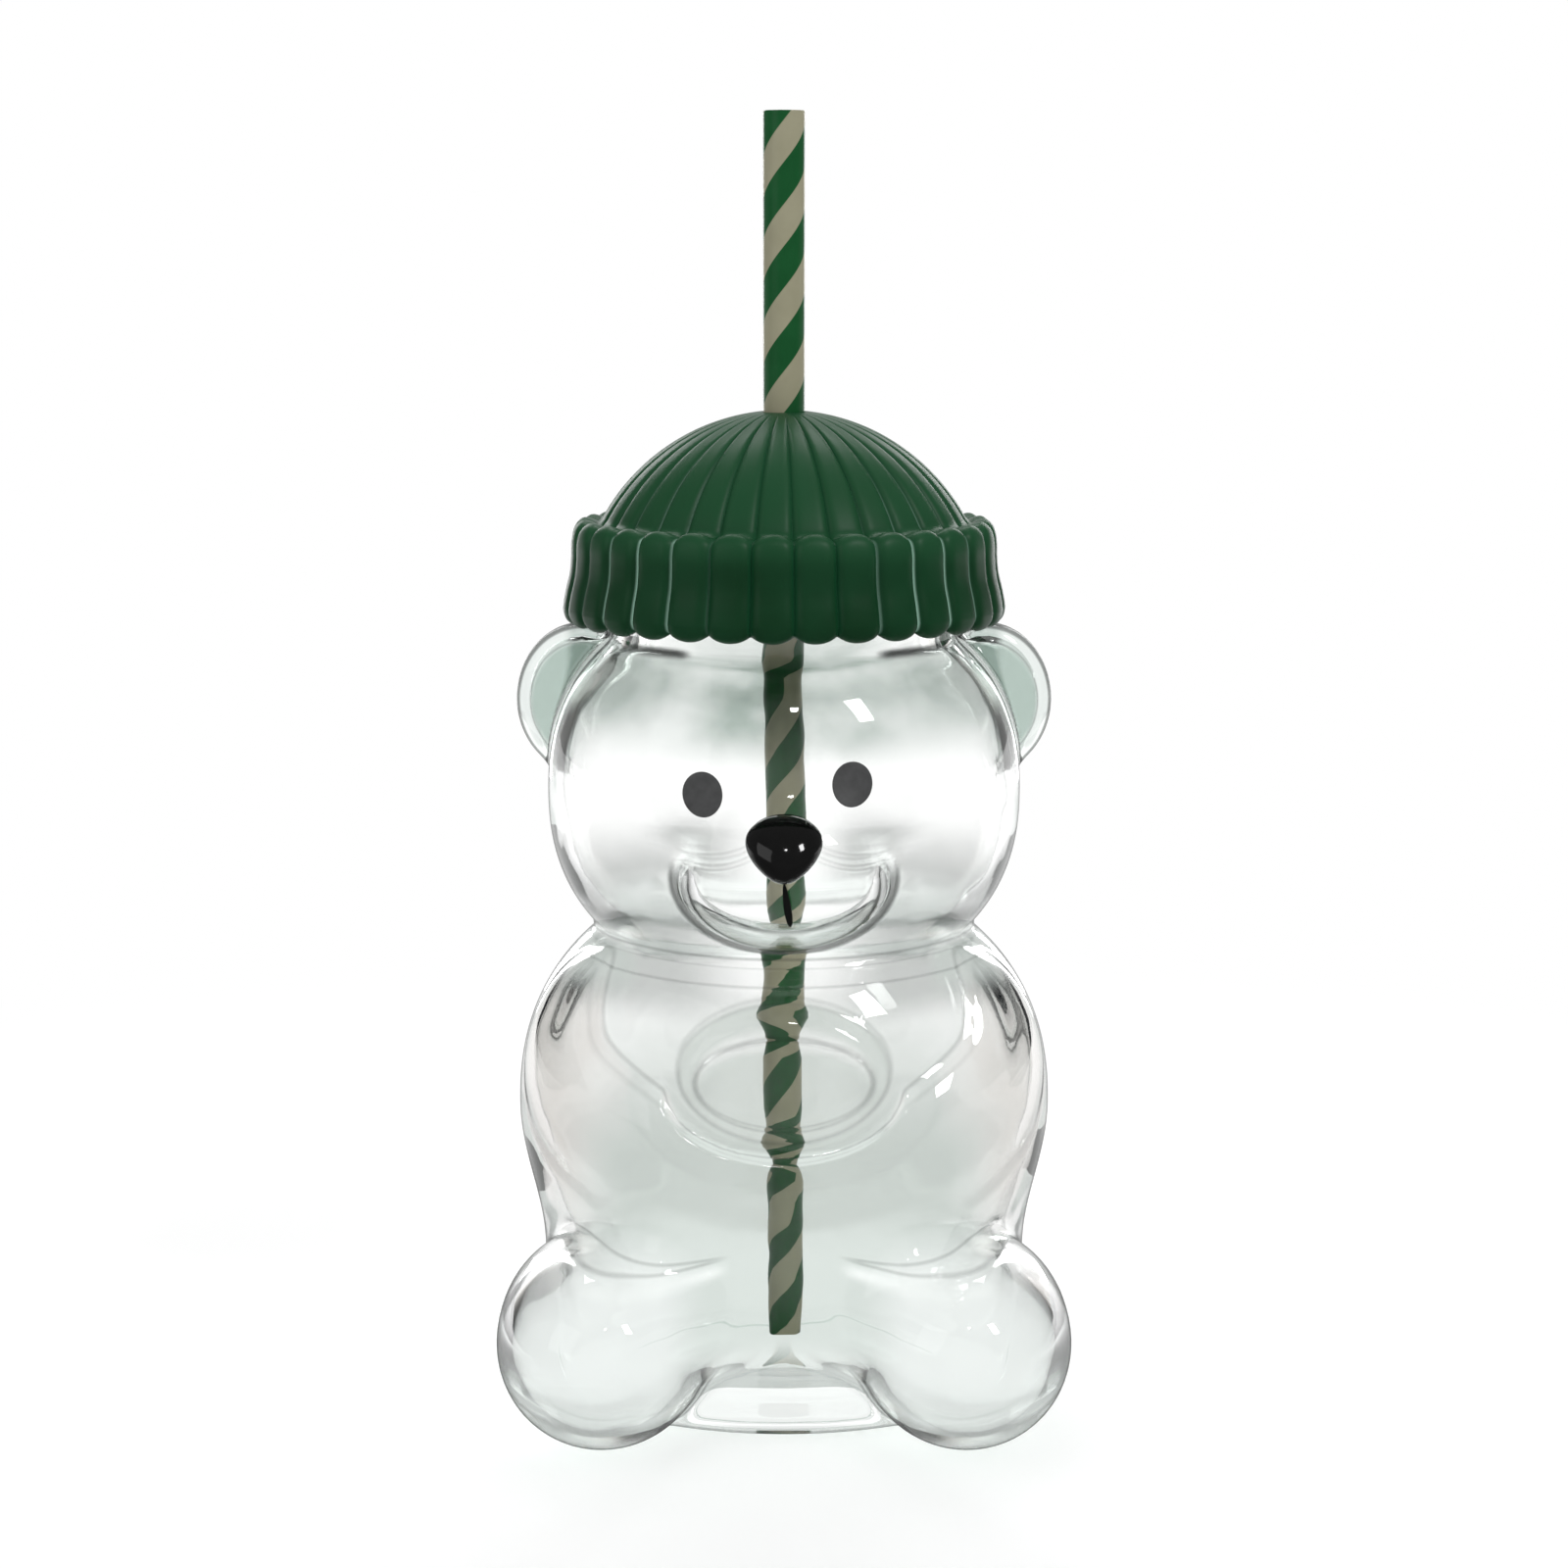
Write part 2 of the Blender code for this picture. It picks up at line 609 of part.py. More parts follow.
def brim_rings():
    """Brim, from its inner lip round the bulge and the waist to its rolled top."""
    lip_radius = LID_INNER_RADIUS + BRIM_LIP_RISE
    bottom_radius = BRIM_BULGE_RADIUS - BRIM_TUCK
    rings = [
        ribbed_ring(lip_radius, BRIM_BOTTOM_Z + BRIM_LIP_RISE, 0.0, SCALLOP_DEPTH),
        ribbed_ring(bottom_radius, BRIM_BOTTOM_Z, 0.5 * BRIM_RIB_DEPTH, SCALLOP_DEPTH),
    ]
    height = BRIM_BULGE_Z - (BRIM_BULGE_Z - BRIM_BOTTOM_Z) * math.cos(BRIM_TUCK_TURN)
    radius = bottom_radius + BRIM_TUCK * math.sin(BRIM_TUCK_TURN)
    rings.append(ribbed_ring(radius, height, BRIM_RIB_DEPTH, 0.5 * SCALLOP_DEPTH))
    for height in spread(BRIM_BULGE_Z, BRIM_WAIST_Z, BRIM_ROWS):
        share = (height - BRIM_BULGE_Z) / (BRIM_WAIST_Z - BRIM_BULGE_Z)
        ease = 0.5 - 0.5 * math.cos(math.pi * share)
        radius = BRIM_BULGE_RADIUS + (BRIM_WAIST_RADIUS - BRIM_BULGE_RADIUS) * ease
        rings.append(ribbed_ring(radius, height, BRIM_RIB_DEPTH))
    for turn in spread(0.0, 0.5 * math.pi, 3):
        radius = BRIM_WAIST_RADIUS - BRIM_ROLL * (1.0 - math.cos(turn))
        height = BRIM_TOP_Z - BRIM_ROLL * (1.0 - math.sin(turn))
        rings.append(ribbed_ring(radius, height, BRIM_RIB_DEPTH))
    return rings


def dome_rings():
    """Dome, from the valley behind the brim up to the straw's hole."""
    foot = math.asin((BRIM_TOP_Z - DOME_CENTRE_Z) / DOME_RADIUS)
    valley = 0.5 * (DOME_RADIUS * math.cos(foot) + BRIM_WAIST_RADIUS - BRIM_ROLL)
    rings = [ribbed_ring(valley, BRIM_TOP_Z - BRIM_VALLEY_DROP, DOME_RIB_DEPTH)]
    crown = math.acos((LID_HOLE_RADIUS + FIT_GAP) / DOME_RADIUS)
    for turn in spread(foot, crown, DOME_ROWS):
        radius = DOME_RADIUS * math.cos(turn)
        height = DOME_CENTRE_Z + DOME_RADIUS * math.sin(turn)
        depth = DOME_RIB_DEPTH * min(radius / DOME_RIB_FADE_RADIUS, 1.0)
        rings.append(ribbed_ring(radius, height, depth))
    return rings


def build_lid_shell(finish):
    """Beanie: ribbed brim and dome in one moulding, hollowed from below."""
    shell = add_object("lid_beanie", skin_through(brim_rings() + dome_rings()), finish)
    inner = DOME_RADIUS - LID_WALL
    start = math.asin((LEDGE_Z - DOME_CENTRE_Z) / inner)
    hollow = [
        level_ring(LID_INNER_RADIUS, BRIM_BOTTOM_Z - LID_WALL, TURNED_POINTS),
        level_ring(LID_INNER_RADIUS, LEDGE_Z, TURNED_POINTS),
    ]
    for turn in spread(start, math.acos(BOSS_BORE / inner), DOME_ROWS + 1):
        height = DOME_CENTRE_Z + inner * math.sin(turn)
        hollow.append(level_ring(inner * math.cos(turn), height, TURNED_POINTS))
    combine(shell, add_object("lid_hollow", skin_through(hollow)), "DIFFERENCE")
    hole = []
    for height in (LEDGE_Z, DOME_CENTRE_Z + DOME_RADIUS + LID_WALL):
        hole.append(level_ring(LID_HOLE_RADIUS, height, SMALL_TURNED_POINTS))
    combine(shell, add_object("lid_hole", skin_through(hole)), "DIFFERENCE")


def build_insert(finish):
    """Insert: flange on the glass rim, grooved skirt into the mouth, boss for the straw."""
    skirt_radius = MOUTH_RADIUS - SKIRT_CLEARANCE
    skirt_bore = skirt_radius - SKIRT_THICKNESS
    groove_radius = MOUTH_RADIUS - FIT_GAP - SEAL_THICKNESS - FIT_GAP
    groove_top = FLANGE_Z - SEAL_DROP + FIT_GAP
    groove_bottom = FLANGE_Z - SEAL_DROP - SEAL_HEIGHT - FIT_GAP
    flange_radius = LID_INNER_RADIUS - FIT_GAP
    outline = [
        (BOSS_BORE, FLANGE_Z),
        (skirt_bore, FLANGE_Z),
        (skirt_bore, FLANGE_Z - SKIRT_LENGTH),
        (skirt_radius, FLANGE_Z - SKIRT_LENGTH),
        (skirt_radius, groove_bottom),
        (groove_radius, groove_bottom),
        (groove_radius, groove_top),
        (skirt_radius, groove_top),
        (skirt_radius, FLANGE_Z),
        (flange_radius, FLANGE_Z),
        (flange_radius, FLANGE_Z + FLANGE_THICKNESS),
        (BOSS_RADIUS, FLANGE_Z + FLANGE_THICKNESS),
        (BOSS_RADIUS, BOSS_TOP_Z),
        (BOSS_BORE, BOSS_TOP_Z),
    ]
    turned("lid_insert", outline, TURNED_POINTS, finish)


def build_seal(finish):
    """Silicone seal: a ring with two lips towards the glass."""
    lip = MOUTH_RADIUS - FIT_GAP
    back = lip - SEAL_THICKNESS
    top = FLANGE_Z - SEAL_DROP
    bottom = top - SEAL_HEIGHT
    outline = [
        (back, bottom),
        (lip - SEAL_LIP, bottom),
        (lip, bottom + SEAL_LIP_PLACE * SEAL_HEIGHT),
        (lip - SEAL_LIP, bottom + 0.5 * SEAL_HEIGHT),
        (lip, top - SEAL_LIP_PLACE * SEAL_HEIGHT),
        (lip - SEAL_LIP, top),
        (back, top),
    ]
    turned("lid_seal", outline, TURNED_POINTS, finish)


def build_grommet(finish):
    """Soft guide bush in the insert's boss, with a flange on the boss's end."""
    flange_z = BOSS_TOP_Z + FIT_GAP
    outline = [
        (GROMMET_BORE, FLANGE_Z),
        (GROMMET_RADIUS, FLANGE_Z),
        (GROMMET_RADIUS, flange_z),
        (BOSS_RADIUS, flange_z),
        (BOSS_RADIUS, flange_z + GROMMET_FLANGE),
        (GROMMET_BORE, flange_z + GROMMET_FLANGE),
    ]
    turned("straw_grommet", outline, SMALL_TURNED_POINTS, finish)


def build_straw(finish):
    """Straight tube from just over the glass floor to well above the dome."""
    outline = [
        (STRAW_RADIUS - STRAW_WALL, STRAW_BOTTOM_Z),
        (STRAW_RADIUS, STRAW_BOTTOM_Z),
        (STRAW_RADIUS, STRAW_TOP_Z),
        (STRAW_RADIUS - STRAW_WALL, STRAW_TOP_Z),
    ]
    turned("straw", outline, SMALL_TURNED_POINTS, finish)


def main():
    clear_scene()
    build_glass(material("clear_glass", (0.86, 0.92, 0.90), 0.03, transmission=1.0))
    build_face(
        material("print_ink", (0.035, 0.037, 0.038), 0.35),
        material("black_gloss", (0.006, 0.006, 0.006), 0.08),
    )
    green = material("green_plastic", (0.018, 0.110, 0.045), 0.38)
    build_lid_shell(green)
    build_insert(green)
    silicone = material("pale_silicone", (0.62, 0.68, 0.64), 0.55)
    build_seal(silicone)
    build_grommet(silicone)
    build_straw(material("striped_plastic", (0.030, 0.190, 0.070), 0.30))


main()
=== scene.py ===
import math

import bpy
import numpy as np
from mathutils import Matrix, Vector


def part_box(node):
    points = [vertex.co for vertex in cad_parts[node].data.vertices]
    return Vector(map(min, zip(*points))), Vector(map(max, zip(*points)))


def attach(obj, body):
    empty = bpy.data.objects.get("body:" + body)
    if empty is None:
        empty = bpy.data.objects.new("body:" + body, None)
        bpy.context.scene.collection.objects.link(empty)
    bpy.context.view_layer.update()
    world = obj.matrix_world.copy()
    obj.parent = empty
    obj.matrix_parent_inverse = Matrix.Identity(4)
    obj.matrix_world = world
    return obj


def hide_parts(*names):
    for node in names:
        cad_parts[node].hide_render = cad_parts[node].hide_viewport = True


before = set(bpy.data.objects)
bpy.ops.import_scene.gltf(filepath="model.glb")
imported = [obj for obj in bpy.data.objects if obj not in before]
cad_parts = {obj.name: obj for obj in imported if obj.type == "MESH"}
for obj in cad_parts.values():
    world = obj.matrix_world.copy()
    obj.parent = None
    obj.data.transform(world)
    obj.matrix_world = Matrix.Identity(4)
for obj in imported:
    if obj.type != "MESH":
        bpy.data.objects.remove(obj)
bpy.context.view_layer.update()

# Bear-shaped glass cup with a ribbed beanie lid and a striped straw, in metres.
# Forms are worked out about the vessel's own upright axis and then moved AXIS_Y back.

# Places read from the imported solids.
STRAW_LOW, STRAW_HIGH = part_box("straw")
LID_LOW, LID_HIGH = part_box("lid_beanie")
INSERT_LOW, INSERT_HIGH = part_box("lid_insert")
SEAL_LOW, SEAL_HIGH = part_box("lid_seal")
BUSH_LOW, BUSH_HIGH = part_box("straw_grommet")
AXIS_Y = 0.5 * (STRAW_LOW.y + STRAW_HIGH.y)
STRAW_RADIUS = 0.5 * (STRAW_HIGH.x - STRAW_LOW.x)

# Glass vessel.
WALL = 0.0030
TORSO_HALF_WIDTH = 0.0490
TORSO_WIDEST_Z = 0.0540
TORSO_RISE = 0.0435
TORSO_SQUARENESS = 2.2
TORSO_DEPTH_SHARE = 0.875
HIP_HALF_WIDTH = 0.0445
HIP_Z = 0.0260
BASE_CORNER = 0.0065
FLOOR_Z = 0.0075
FLOOR_CORNER = 0.0110
HEAD_HALF_WIDTH = 0.0432
HEAD_WIDEST_Z = 0.1120
HEAD_HALF_HEIGHT = 0.0363
HEAD_SQUARENESS = 2.3
HEAD_DEPTH_SHARE = 0.93
MOUTH_RADIUS = 0.0310
RIM_Z = 0.1510

# Lobes: centre and half sizes across, up and along.
EAR = ((0.0372, 0.1276, 0.0080), (0.0122, 0.0140, 0.0048), 3.2)
MUZZLE = ((0.0, 0.1015, -0.0340), (0.0187, 0.0125, 0.0145), 2.5)
LEG = ((0.0320, 0.0178, -0.0310), (0.0192, 0.0182, 0.0290), 2.3)

# Arms: turn in degrees from the side to the front, and height, from shoulder to paw.
ARM_LINE = (
    (27.0, 0.0860), (31.0, 0.0730), (38.0, 0.0644), (53.0, 0.0573), (75.0, 0.0480),
    (97.0, 0.0430),
)
ARM_STEPS = 18
ARM_WRAP = 0.0455
ARM_BREADTH = 0.0120
ARM_LOWER_SPREAD = 1.5
ARM_THICKNESS = 0.0084
ARM_SINK = 0.0046
ARM_HOLLOW_EASE = 0.0008
PAW_MEETING = 0.0060

# Oval panel on the chest and the collar that it keeps free of the paws: height of the
# middle, half width and half height.
COLLAR = (0.0639, 0.0210, 0.0110)
COLLAR_EDGE = 0.0008
PANEL = (0.0675, 0.0184, 0.0118)
DISH = (0.0657, 0.0156, 0.0078)
PANEL_RISE = 0.0010
PANEL_DISH = 0.0003
PANEL_SLOPE = 0.0026

# Regions of the glass as products of smooth steps, each with its way and its two ends in
# metres: up from the foot, out to the side, or to the front of the origin. A step falls
# where its start is past its end.
# Most regions mark where painted light and shade lie on the glass.
REGIONS = {
    "chest": (("up", 0.034, 0.050), ("up", 0.096, 0.080), ("side", 0.036, 0.020),
              ("front", 0.0, 0.020)),
    "ear_tips": (("side", 0.034, 0.044), ("up", 0.108, 0.118)),
    "toe_tips": (("front", 0.030, 0.055), ("up", 0.040, 0.030)),
    "melting_legs": (("side", 0.038, 0.020), ("up", 0.010, 0.020)),
    "front": (("front", 0.0, 0.010),),
    "face": (("up", 0.080, 0.088),),
    "belly": (("up", 0.010, 0.022), ("up", 0.072, 0.052), ("side", 0.048, 0.028)),
    "flank": (("side", 0.030, 0.042), ("up", 0.028, 0.044), ("up", 0.084, 0.078)),
    "toes": (("front", 0.018, 0.032), ("up", 0.040, 0.030), ("side", 0.013, 0.023)),
    "base": (("up", 0.016, 0.006),),
    "crown": (("up", 0.119, 0.129), ("up", 0.142, 0.136)),
    "jowl": (("up", 0.104, 0.092), ("up", 0.074, 0.080), ("side", 0.004, 0.020)),
    "over_neck": (("up", 0.106, 0.110),),
    "lip": (("up", 0.106, 0.098),),
    "over_leg": (("front", 0.0, 0.010), ("side", 0.009, 0.014), ("side", 0.0375, 0.0345)),
    "brow": (("front", 0.0, 0.010), ("side", 0.0045, 0.0070), ("side", 0.0185, 0.0165)),
    "muzzle": (("front", 0.0, 0.010), ("up", 0.106, 0.101)),
    "bracket": (("front", 0.0, 0.010), ("side", 0.0155, 0.0185), ("side", 0.030, 0.027)),
    "instep": (("up", 0.002, 0.004), ("up", 0.017, 0.011), ("side", 0.010, 0.013),
               ("side", 0.026, 0.022)),
    "low": (("up", 0.028, 0.018),),
    "foot_edge": (("up", 0.0004, 0.0008), ("up", 0.0020, 0.0012)),
    "floor": (("up", 0.020, 0.012),),
    "underside": (("up", 0.0030, 0.0016),),
    "ears": (("side", 0.0385, 0.0405), ("up", 0.114, 0.118), ("up", 0.144, 0.140)),
}

# How strongly grid points are drawn to the finest relief.
CROWDING = {"chest": 0.25, "ear_tips": 1.2, "toe_tips": 0.35}

# How far neighbouring forms melt into each other.
NECK_BLEND = 0.0014
COLLAR_BLEND = 0.0010
EAR_BLEND = 0.0030
MUZZLE_BLEND = 0.0018
MUZZLE_MELT = 0.0080
MUZZLE_MELT_Z = (0.102, 0.110)
LEG_BLEND = 0.0030
LEG_MELT = 0.0200
ARM_BLEND = 0.0010
ARM_LOWER_BLEND = 0.0034
ARM_LOWER_REACH = 0.0080
SOLE_BLEND = 0.0006
INNER_SOFTNESS = 0.0028
RIPPLE = 0.00010
RIPPLE_FADE = (0.004, 0.012)
FAR = 0.05

# Barrel that the skins start from, and the rounds and the slide of each pass.
BARREL_GRID = (49, 60)
BARREL_RADIUS = 0.078
BARREL_MIDDLE_Z = 0.078
BARREL_HALF_HEIGHT = 0.090
BARREL_TURN = (math.radians(-62), math.radians(52))
OUTER_PASSES = ((140, 0.6), (40, 0.5), (14, 0.4))
INNER_PASSES = ((50, 0.5), (40, 0.5), (14, 0.4))
INNER_ROWS = 35
RIM_ROWS = 6
LONGEST_PULL = 0.006

# Underside and inner floor.
POLE_RADIUS = 0.0006
BASE_RADIUS = 0.0360
UNDERSIDE_ROWS = 35
FOOT_RING_RADIUS = 0.0335
RECESS_RISE = 0.0012
RECESS_SLOPE = 0.0030
PUNT_RISE = 0.0006
PUNT_RADIUS = 0.0190
PUNT_SLOPE = 0.0060
FLOOR_ROWS = 21
FLOOR_RING_RADIUS = 0.0169
FLOOR_RING_RISE = 0.0004
FLOOR_RING_HALF_WIDTH = 0.0010
FLOOR_DISC_RADIUS = 0.0195

# Face.
FACE_START_Y = -0.060
SEAT_GAP = 0.00006
PRINT_THICKNESS = 0.00022
PRINT_ROUNDNESS = 0.35
PRINT_EDGE_ROWS = 17
PRINT_FACE_ROWS = 6
EYE_HALF_SIZE = (0.0035, 0.0038)
EYES = (("left", -0.0141, 0.1168), ("right", 0.0118, 0.1186))
NOSE_CENTRE = (0.0, -0.0472, 0.1086)
NOSE_HALF_SIZE = (0.0066, 0.0046, 0.0055)
NOSE_LEAN = 0.50
NOSE_TAPER = 0.50
NOSE_TAPER_BALANCE = 0.3
NOSE_TAPER_POWER = 1.5
NOSE_GRID = (64, 96)
MOUTH_LINE_TOP = 0.1030
MOUTH_LINE_LENGTH = 0.0078
MOUTH_LINE_LEAN = 0.0011
MOUTH_LINE_WIDTHS = (0.00052, 0.00080)

# Lid.
RIB_COUNT = 32
RIB_PHASE = math.radians(2.65)
RIB_SQUARENESS = 5.2
RIB_COLUMNS = 18
BRIM_RIB_DEPTH = 0.0012
DOME_RIB_DEPTH = 0.0010
HEM_SQUARENESS = 2.2
SCALLOP = 0.0013
BRIM_ARCH = 0.0014
DOME_RADIUS = 0.0377
DOME_Z = 0.1433
LID_WALL = 0.0022
LID_INNER_RADIUS = 0.0364
LID_HOLE_RADIUS = 0.00405
LID_HOLE_EDGE = 0.0006
DOME_FOOT_RISE = 0.0190
DOME_RIB_FADE = (0.002, 0.016)
DOME_ROWS = 56
CEILING_ROWS = 18
SKIRT_ROWS = 6
BRIM_ROWS = 90
MOULD_LINE_Z = 0.1455
MOULD_LINE_RISE = 0.00007
MOULD_LINE_HALF_WIDTH = 0.00016

# Brim, up its outside: radius, height over the lid's lowest point, rib depth, scallop
# rise and crest fall.
BRIM_KNOTS = (
    (0.0368, 0.0007, 0.0, 1.0, 0.0),
    (0.0382, 0.0000, 0.4, 1.0, 0.0),
    (0.0396, 0.0008, 0.9, 0.7, 0.0),
    (0.0402, 0.0027, 1.0, 0.2, 0.0),
    (0.0398, 0.0056, 1.0, 0.0, 0.0),
    (0.0390, 0.0090, 1.0, 0.0, 0.0),
    (0.0387, 0.0120, 1.0, 0.0, 0.0),
    (0.0386, 0.0150, 1.0, 0.0, 0.1),
    (0.0380, 0.0174, 1.0, 0.0, 0.5),
    (0.0367, 0.0187, 1.0, 0.0, 1.0),
    (0.0352, 0.0186, 0.9, 0.0, 0.9),
    (0.0339, 0.0180, 0.7, 0.0, 0.3),
)

# Fittings under the lid.
FIT_GAP = 0.0003
FLANGE_THICKNESS = 0.0020
LEDGE_Z = BUSH_LOW.z + FLANGE_THICKNESS + FIT_GAP
BUSH_WALL = 0.0016
BOSS_WALL = 0.0016
BUSH_COLLAR = 0.0014
RUNNING_GAP = 0.0002
SKIRT_GAP = 0.0008
SKIRT_WALL = 0.0026
GROOVE_DEPTH = 0.0019
SEAL_THICKNESS = 0.0016
SEAL_CHAMFER = 0.0004
SEAL_LIP_RISE = 0.0007
SEAL_WAIST = 0.0005
FITTING_FILLET = 0.0004
RUBBER_FILLET = 0.0003

# Straw.
STRAW_WALL = 0.0006
STRIPE_LEAD = 0.0296
STRIPE_STARTS = 2
STRIPE_PHASE = 0.04

# Tint of the glass and its painted light and shade, in the order in which they are laid
# over each other: the body is the glass's own tint, the lighter face and hem band are
# painted light, the others are painted shade, the crown's also a painted reflection of the
# green lid, and the lines are painted dark shade lines.
GLASS_TINT_AND_PAINTED_SHADING = {
    "body": (0.930, 0.935, 0.930),
    "face": (0.990, 0.995, 0.990),
    "belly": (0.725, 0.755, 0.735),
    "flank": (0.765, 0.750, 0.730),
    "toes": (0.890, 0.895, 0.893),
    "base": (0.800, 0.815, 0.805),
    "crown": (0.320, 0.390, 0.350),
    "jowl": (0.580, 0.595, 0.585),
    "ear": (0.680, 0.720, 0.700),
    "ear_middle": (0.300, 0.380, 0.340),
    "bib": (0.800, 0.820, 0.805),
    "lip": (0.620, 0.640, 0.630),
    "hem": (0.985, 0.990, 0.985),
    "lines": (0.040, 0.045, 0.042),
}
# Painted edge shade where the glass is seen edge on, painted dull grey shade on rims and lines,
# and the tint of light that passes straight through.
PAINTED_EDGE_SHADE = (0.340, 0.370, 0.360)
PAINTED_DULL_SHADE = (0.100, 0.105, 0.100)
PASSING_TINT = (0.930, 0.950, 0.940)

# Painted dark shade lines along a form's crease: distance beside it, half width and
# darkness.
PAINTED_CREASE_SHADE_LINES = {
    "arm": ((0.0, 0.0005, 0.42), (0.0015, 0.0004, 0.16)),
    "neck": ((0.0, 0.0007, 0.50), (-0.0021, 0.0003, 0.20), (-0.0058, 0.0005, 0.32)),
    "leg": ((0.0, 0.0008, 0.60), (0.0020, 0.0022, 0.70)),
    "ear": ((0.0, 0.0005, 0.50),),
}

# Painted dark shade ovals on the front: the oval, the line's half width, and its
# darkness.
PAINTED_PANEL_SHADE_OVALS = ((PANEL, 0.00055, 0.26), (DISH, 0.00045, 0.36))
PAINTED_MUZZLE_SHADE_OVALS = (
    ((0.1015, 0.0190, 0.0136), 0.0008, 0.80), ((0.1015, 0.0165, 0.0112), 0.0005, 0.50),
)

# Parabolas on the front, along which painted shade lines and the hem's painted
# highlight band lie: lowest height, how far out it lies, and bend per metre.
FOLD_ARCH = (0.0332, 0.0240, 9.6)
BROW_ARCH = (0.1046, 0.0135, 34.0)
# Height of the painted dark shade bracket under the lid, and of the throat.
BRACKET_Z = 0.1394
THROAT_Z = 0.0845

# How dark each kind of painted shade line is, and how much painted dull grey shade it
# holds.
LINE_DARKNESS = {
    "chest": 1.0, "neck": 1.0, "brow": 0.25, "muzzle": 1.0, "leg": 1.0, "ears": 1.0,
    "bracket": 0.8, "helix": 0.5,
}
LINE_SHADE_GREY_SHARE = {
    "neck": 0.25, "muzzle": 0.6, "leg": 0.3, "ears": 0.5, "bracket": 0.6, "helix": 0.6,
}

# Ray depths: within the glass, past a wall, and past many surfaces.
ENTERED = (0.4, 0.6)
CROSSED = (1.4, 1.6)
SPENT = (4.2, 4.8)
CALM = 0.85

# Colours of the opaque parts, darker and paler, and of what is laid over them: the lid's
# painted top highlight, painted crease highlight and painted mint glint, and the straw's
# painted shade below the lid.
LID_GREENS = ((0.0022, 0.041, 0.011), (0.0038, 0.054, 0.017))
LID_PAINTED_TOP_LIGHT = (0.016, 0.100, 0.038)
LID_PAINTED_CREASE_LIGHT = (0.016, 0.110, 0.050)
LID_PAINTED_MINT_GLINT = (0.50, 0.76, 0.63)
STRAW_GREENS = ((0.004, 0.078, 0.018), (0.008, 0.118, 0.030))
STRAW_PAINTED_LOW_SHADE = (0.002, 0.080, 0.014)
STRAW_CREAMS = ((0.33, 0.315, 0.21), (0.42, 0.40, 0.28))
SILICONE_TINTS = ((0.56, 0.62, 0.58), (0.68, 0.73, 0.69))
NOSE_BLACKS = ((0.002, 0.002, 0.002), (0.006, 0.006, 0.006))
INK_GREYS = ((0.048, 0.049, 0.050), (0.100, 0.101, 0.103))
MOUTH_INK = (0.004, 0.005, 0.004)
BLACK = (0.0, 0.0, 0.0)
WHITE = (1.0, 1.0, 1.0)

# Studio: the white seen through glass, and the lamps with their place, width, height
# and power.
BACKDROP_GLOW = 1.16
FLOOR_GLOW_LIMIT = 1.2
FLOOR_GREYS = ((0.80, 0.80, 0.80), (0.82, 0.82, 0.82))
FLOOR_LIFT = (0.3, 0.3, 0.3)
WORLD_LIGHT = 0.50
WARM_WHITE = (1.0, 0.94, 0.87)
LAMP_TARGET = (0.0, 0.0, 0.12)
LAMPS = (
    ("key_softbox", (0.75, -0.70, 1.15), 0.20, 0.36, 5.0),
    ("fill_softbox", (-0.90, -0.70, 0.75), 0.80, 0.80, 1.6),
    ("left_edge_strip", (-0.30, 0.72, 0.24), 0.10, 0.80, 1.2),
    ("right_edge_strip", (0.30, 0.72, 0.24), 0.10, 0.80, 1.2),
    ("crown_softbox", (0.0, 0.55, 0.95), 0.60, 0.20, 2.5),
    ("small_spark", (0.05, -0.62, 0.85), 0.05, 0.05, 0.3),
)

# Camera: the photograph's distance, height, pitch and angle of view.
CAMERA_DISTANCE = 0.647
CAMERA_HEIGHT = 0.2128
CAMERA_PITCH = math.radians(8.8)
CAMERA_LENS = 81.9


def add_surface(name, points, finish, body, nodes, rows_meet=False, marks=None):
    """Mesh of a grid (rows, columns, 3) whose columns run round anticlockwise. The rows
    either meet, as on a ring, or close in a pole at each end. Marks are named values
    for each point of the grid."""
    rows, columns = points.shape[:2]
    spots = np.arange(rows * columns).reshape(rows, columns)
    places = points.reshape(-1, 3)
    low = spots[:-1]
    high = spots[1:]
    if rows_meet:
        low = spots
        high = np.roll(spots, -1, axis=0)
    quads = np.stack((low, np.roll(low, -1, 1), np.roll(high, -1, 1), high), -1)
    faces = quads.reshape(-1, 4).tolist()
    if not rows_meet:
        first = rows * columns
        poles = np.stack((points[0].mean(0), points[-1].mean(0)))
        places = np.vstack((places, poles))
        start = np.stack((np.full(columns, first), np.roll(spots[0], -1), spots[0]), -1)
        end = np.stack((spots[-1], np.roll(spots[-1], -1), np.full(columns, first + 1)), -1)
        faces += start.tolist() + end.tolist()
    places = places + np.array((0.0, AXIS_Y, 0.0))
    mesh = bpy.data.meshes.new(name)
    mesh.from_pydata(places.tolist(), [], faces)
    for label, values in (marks or {}).items():
        layer = mesh.attributes.new(label, "FLOAT", "POINT")
        spread = np.full(len(places), values.flat[-1], dtype=np.float32)
        spread[:values.size] = values.ravel()
        layer.data.foreach_set("value", spread)
    mesh.shade_smooth()
    mesh.materials.append(finish)
    made = bpy.data.objects.new(name, mesh)
    bpy.context.collection.objects.link(made)
    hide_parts(*nodes)
    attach(made, body)
    return made


def round_about(radius, height, columns):
    """Grid of a turned profile: each (radius, height) carried round the axis."""
    angle = np.linspace(0.0, math.tau, columns, endpoint=False)
    radius = np.asarray(radius)[:, None]
    height = np.asarray(height)[:, None] + 0.0 * angle
    return np.stack((radius * np.cos(angle), radius * np.sin(angle), height), -1)


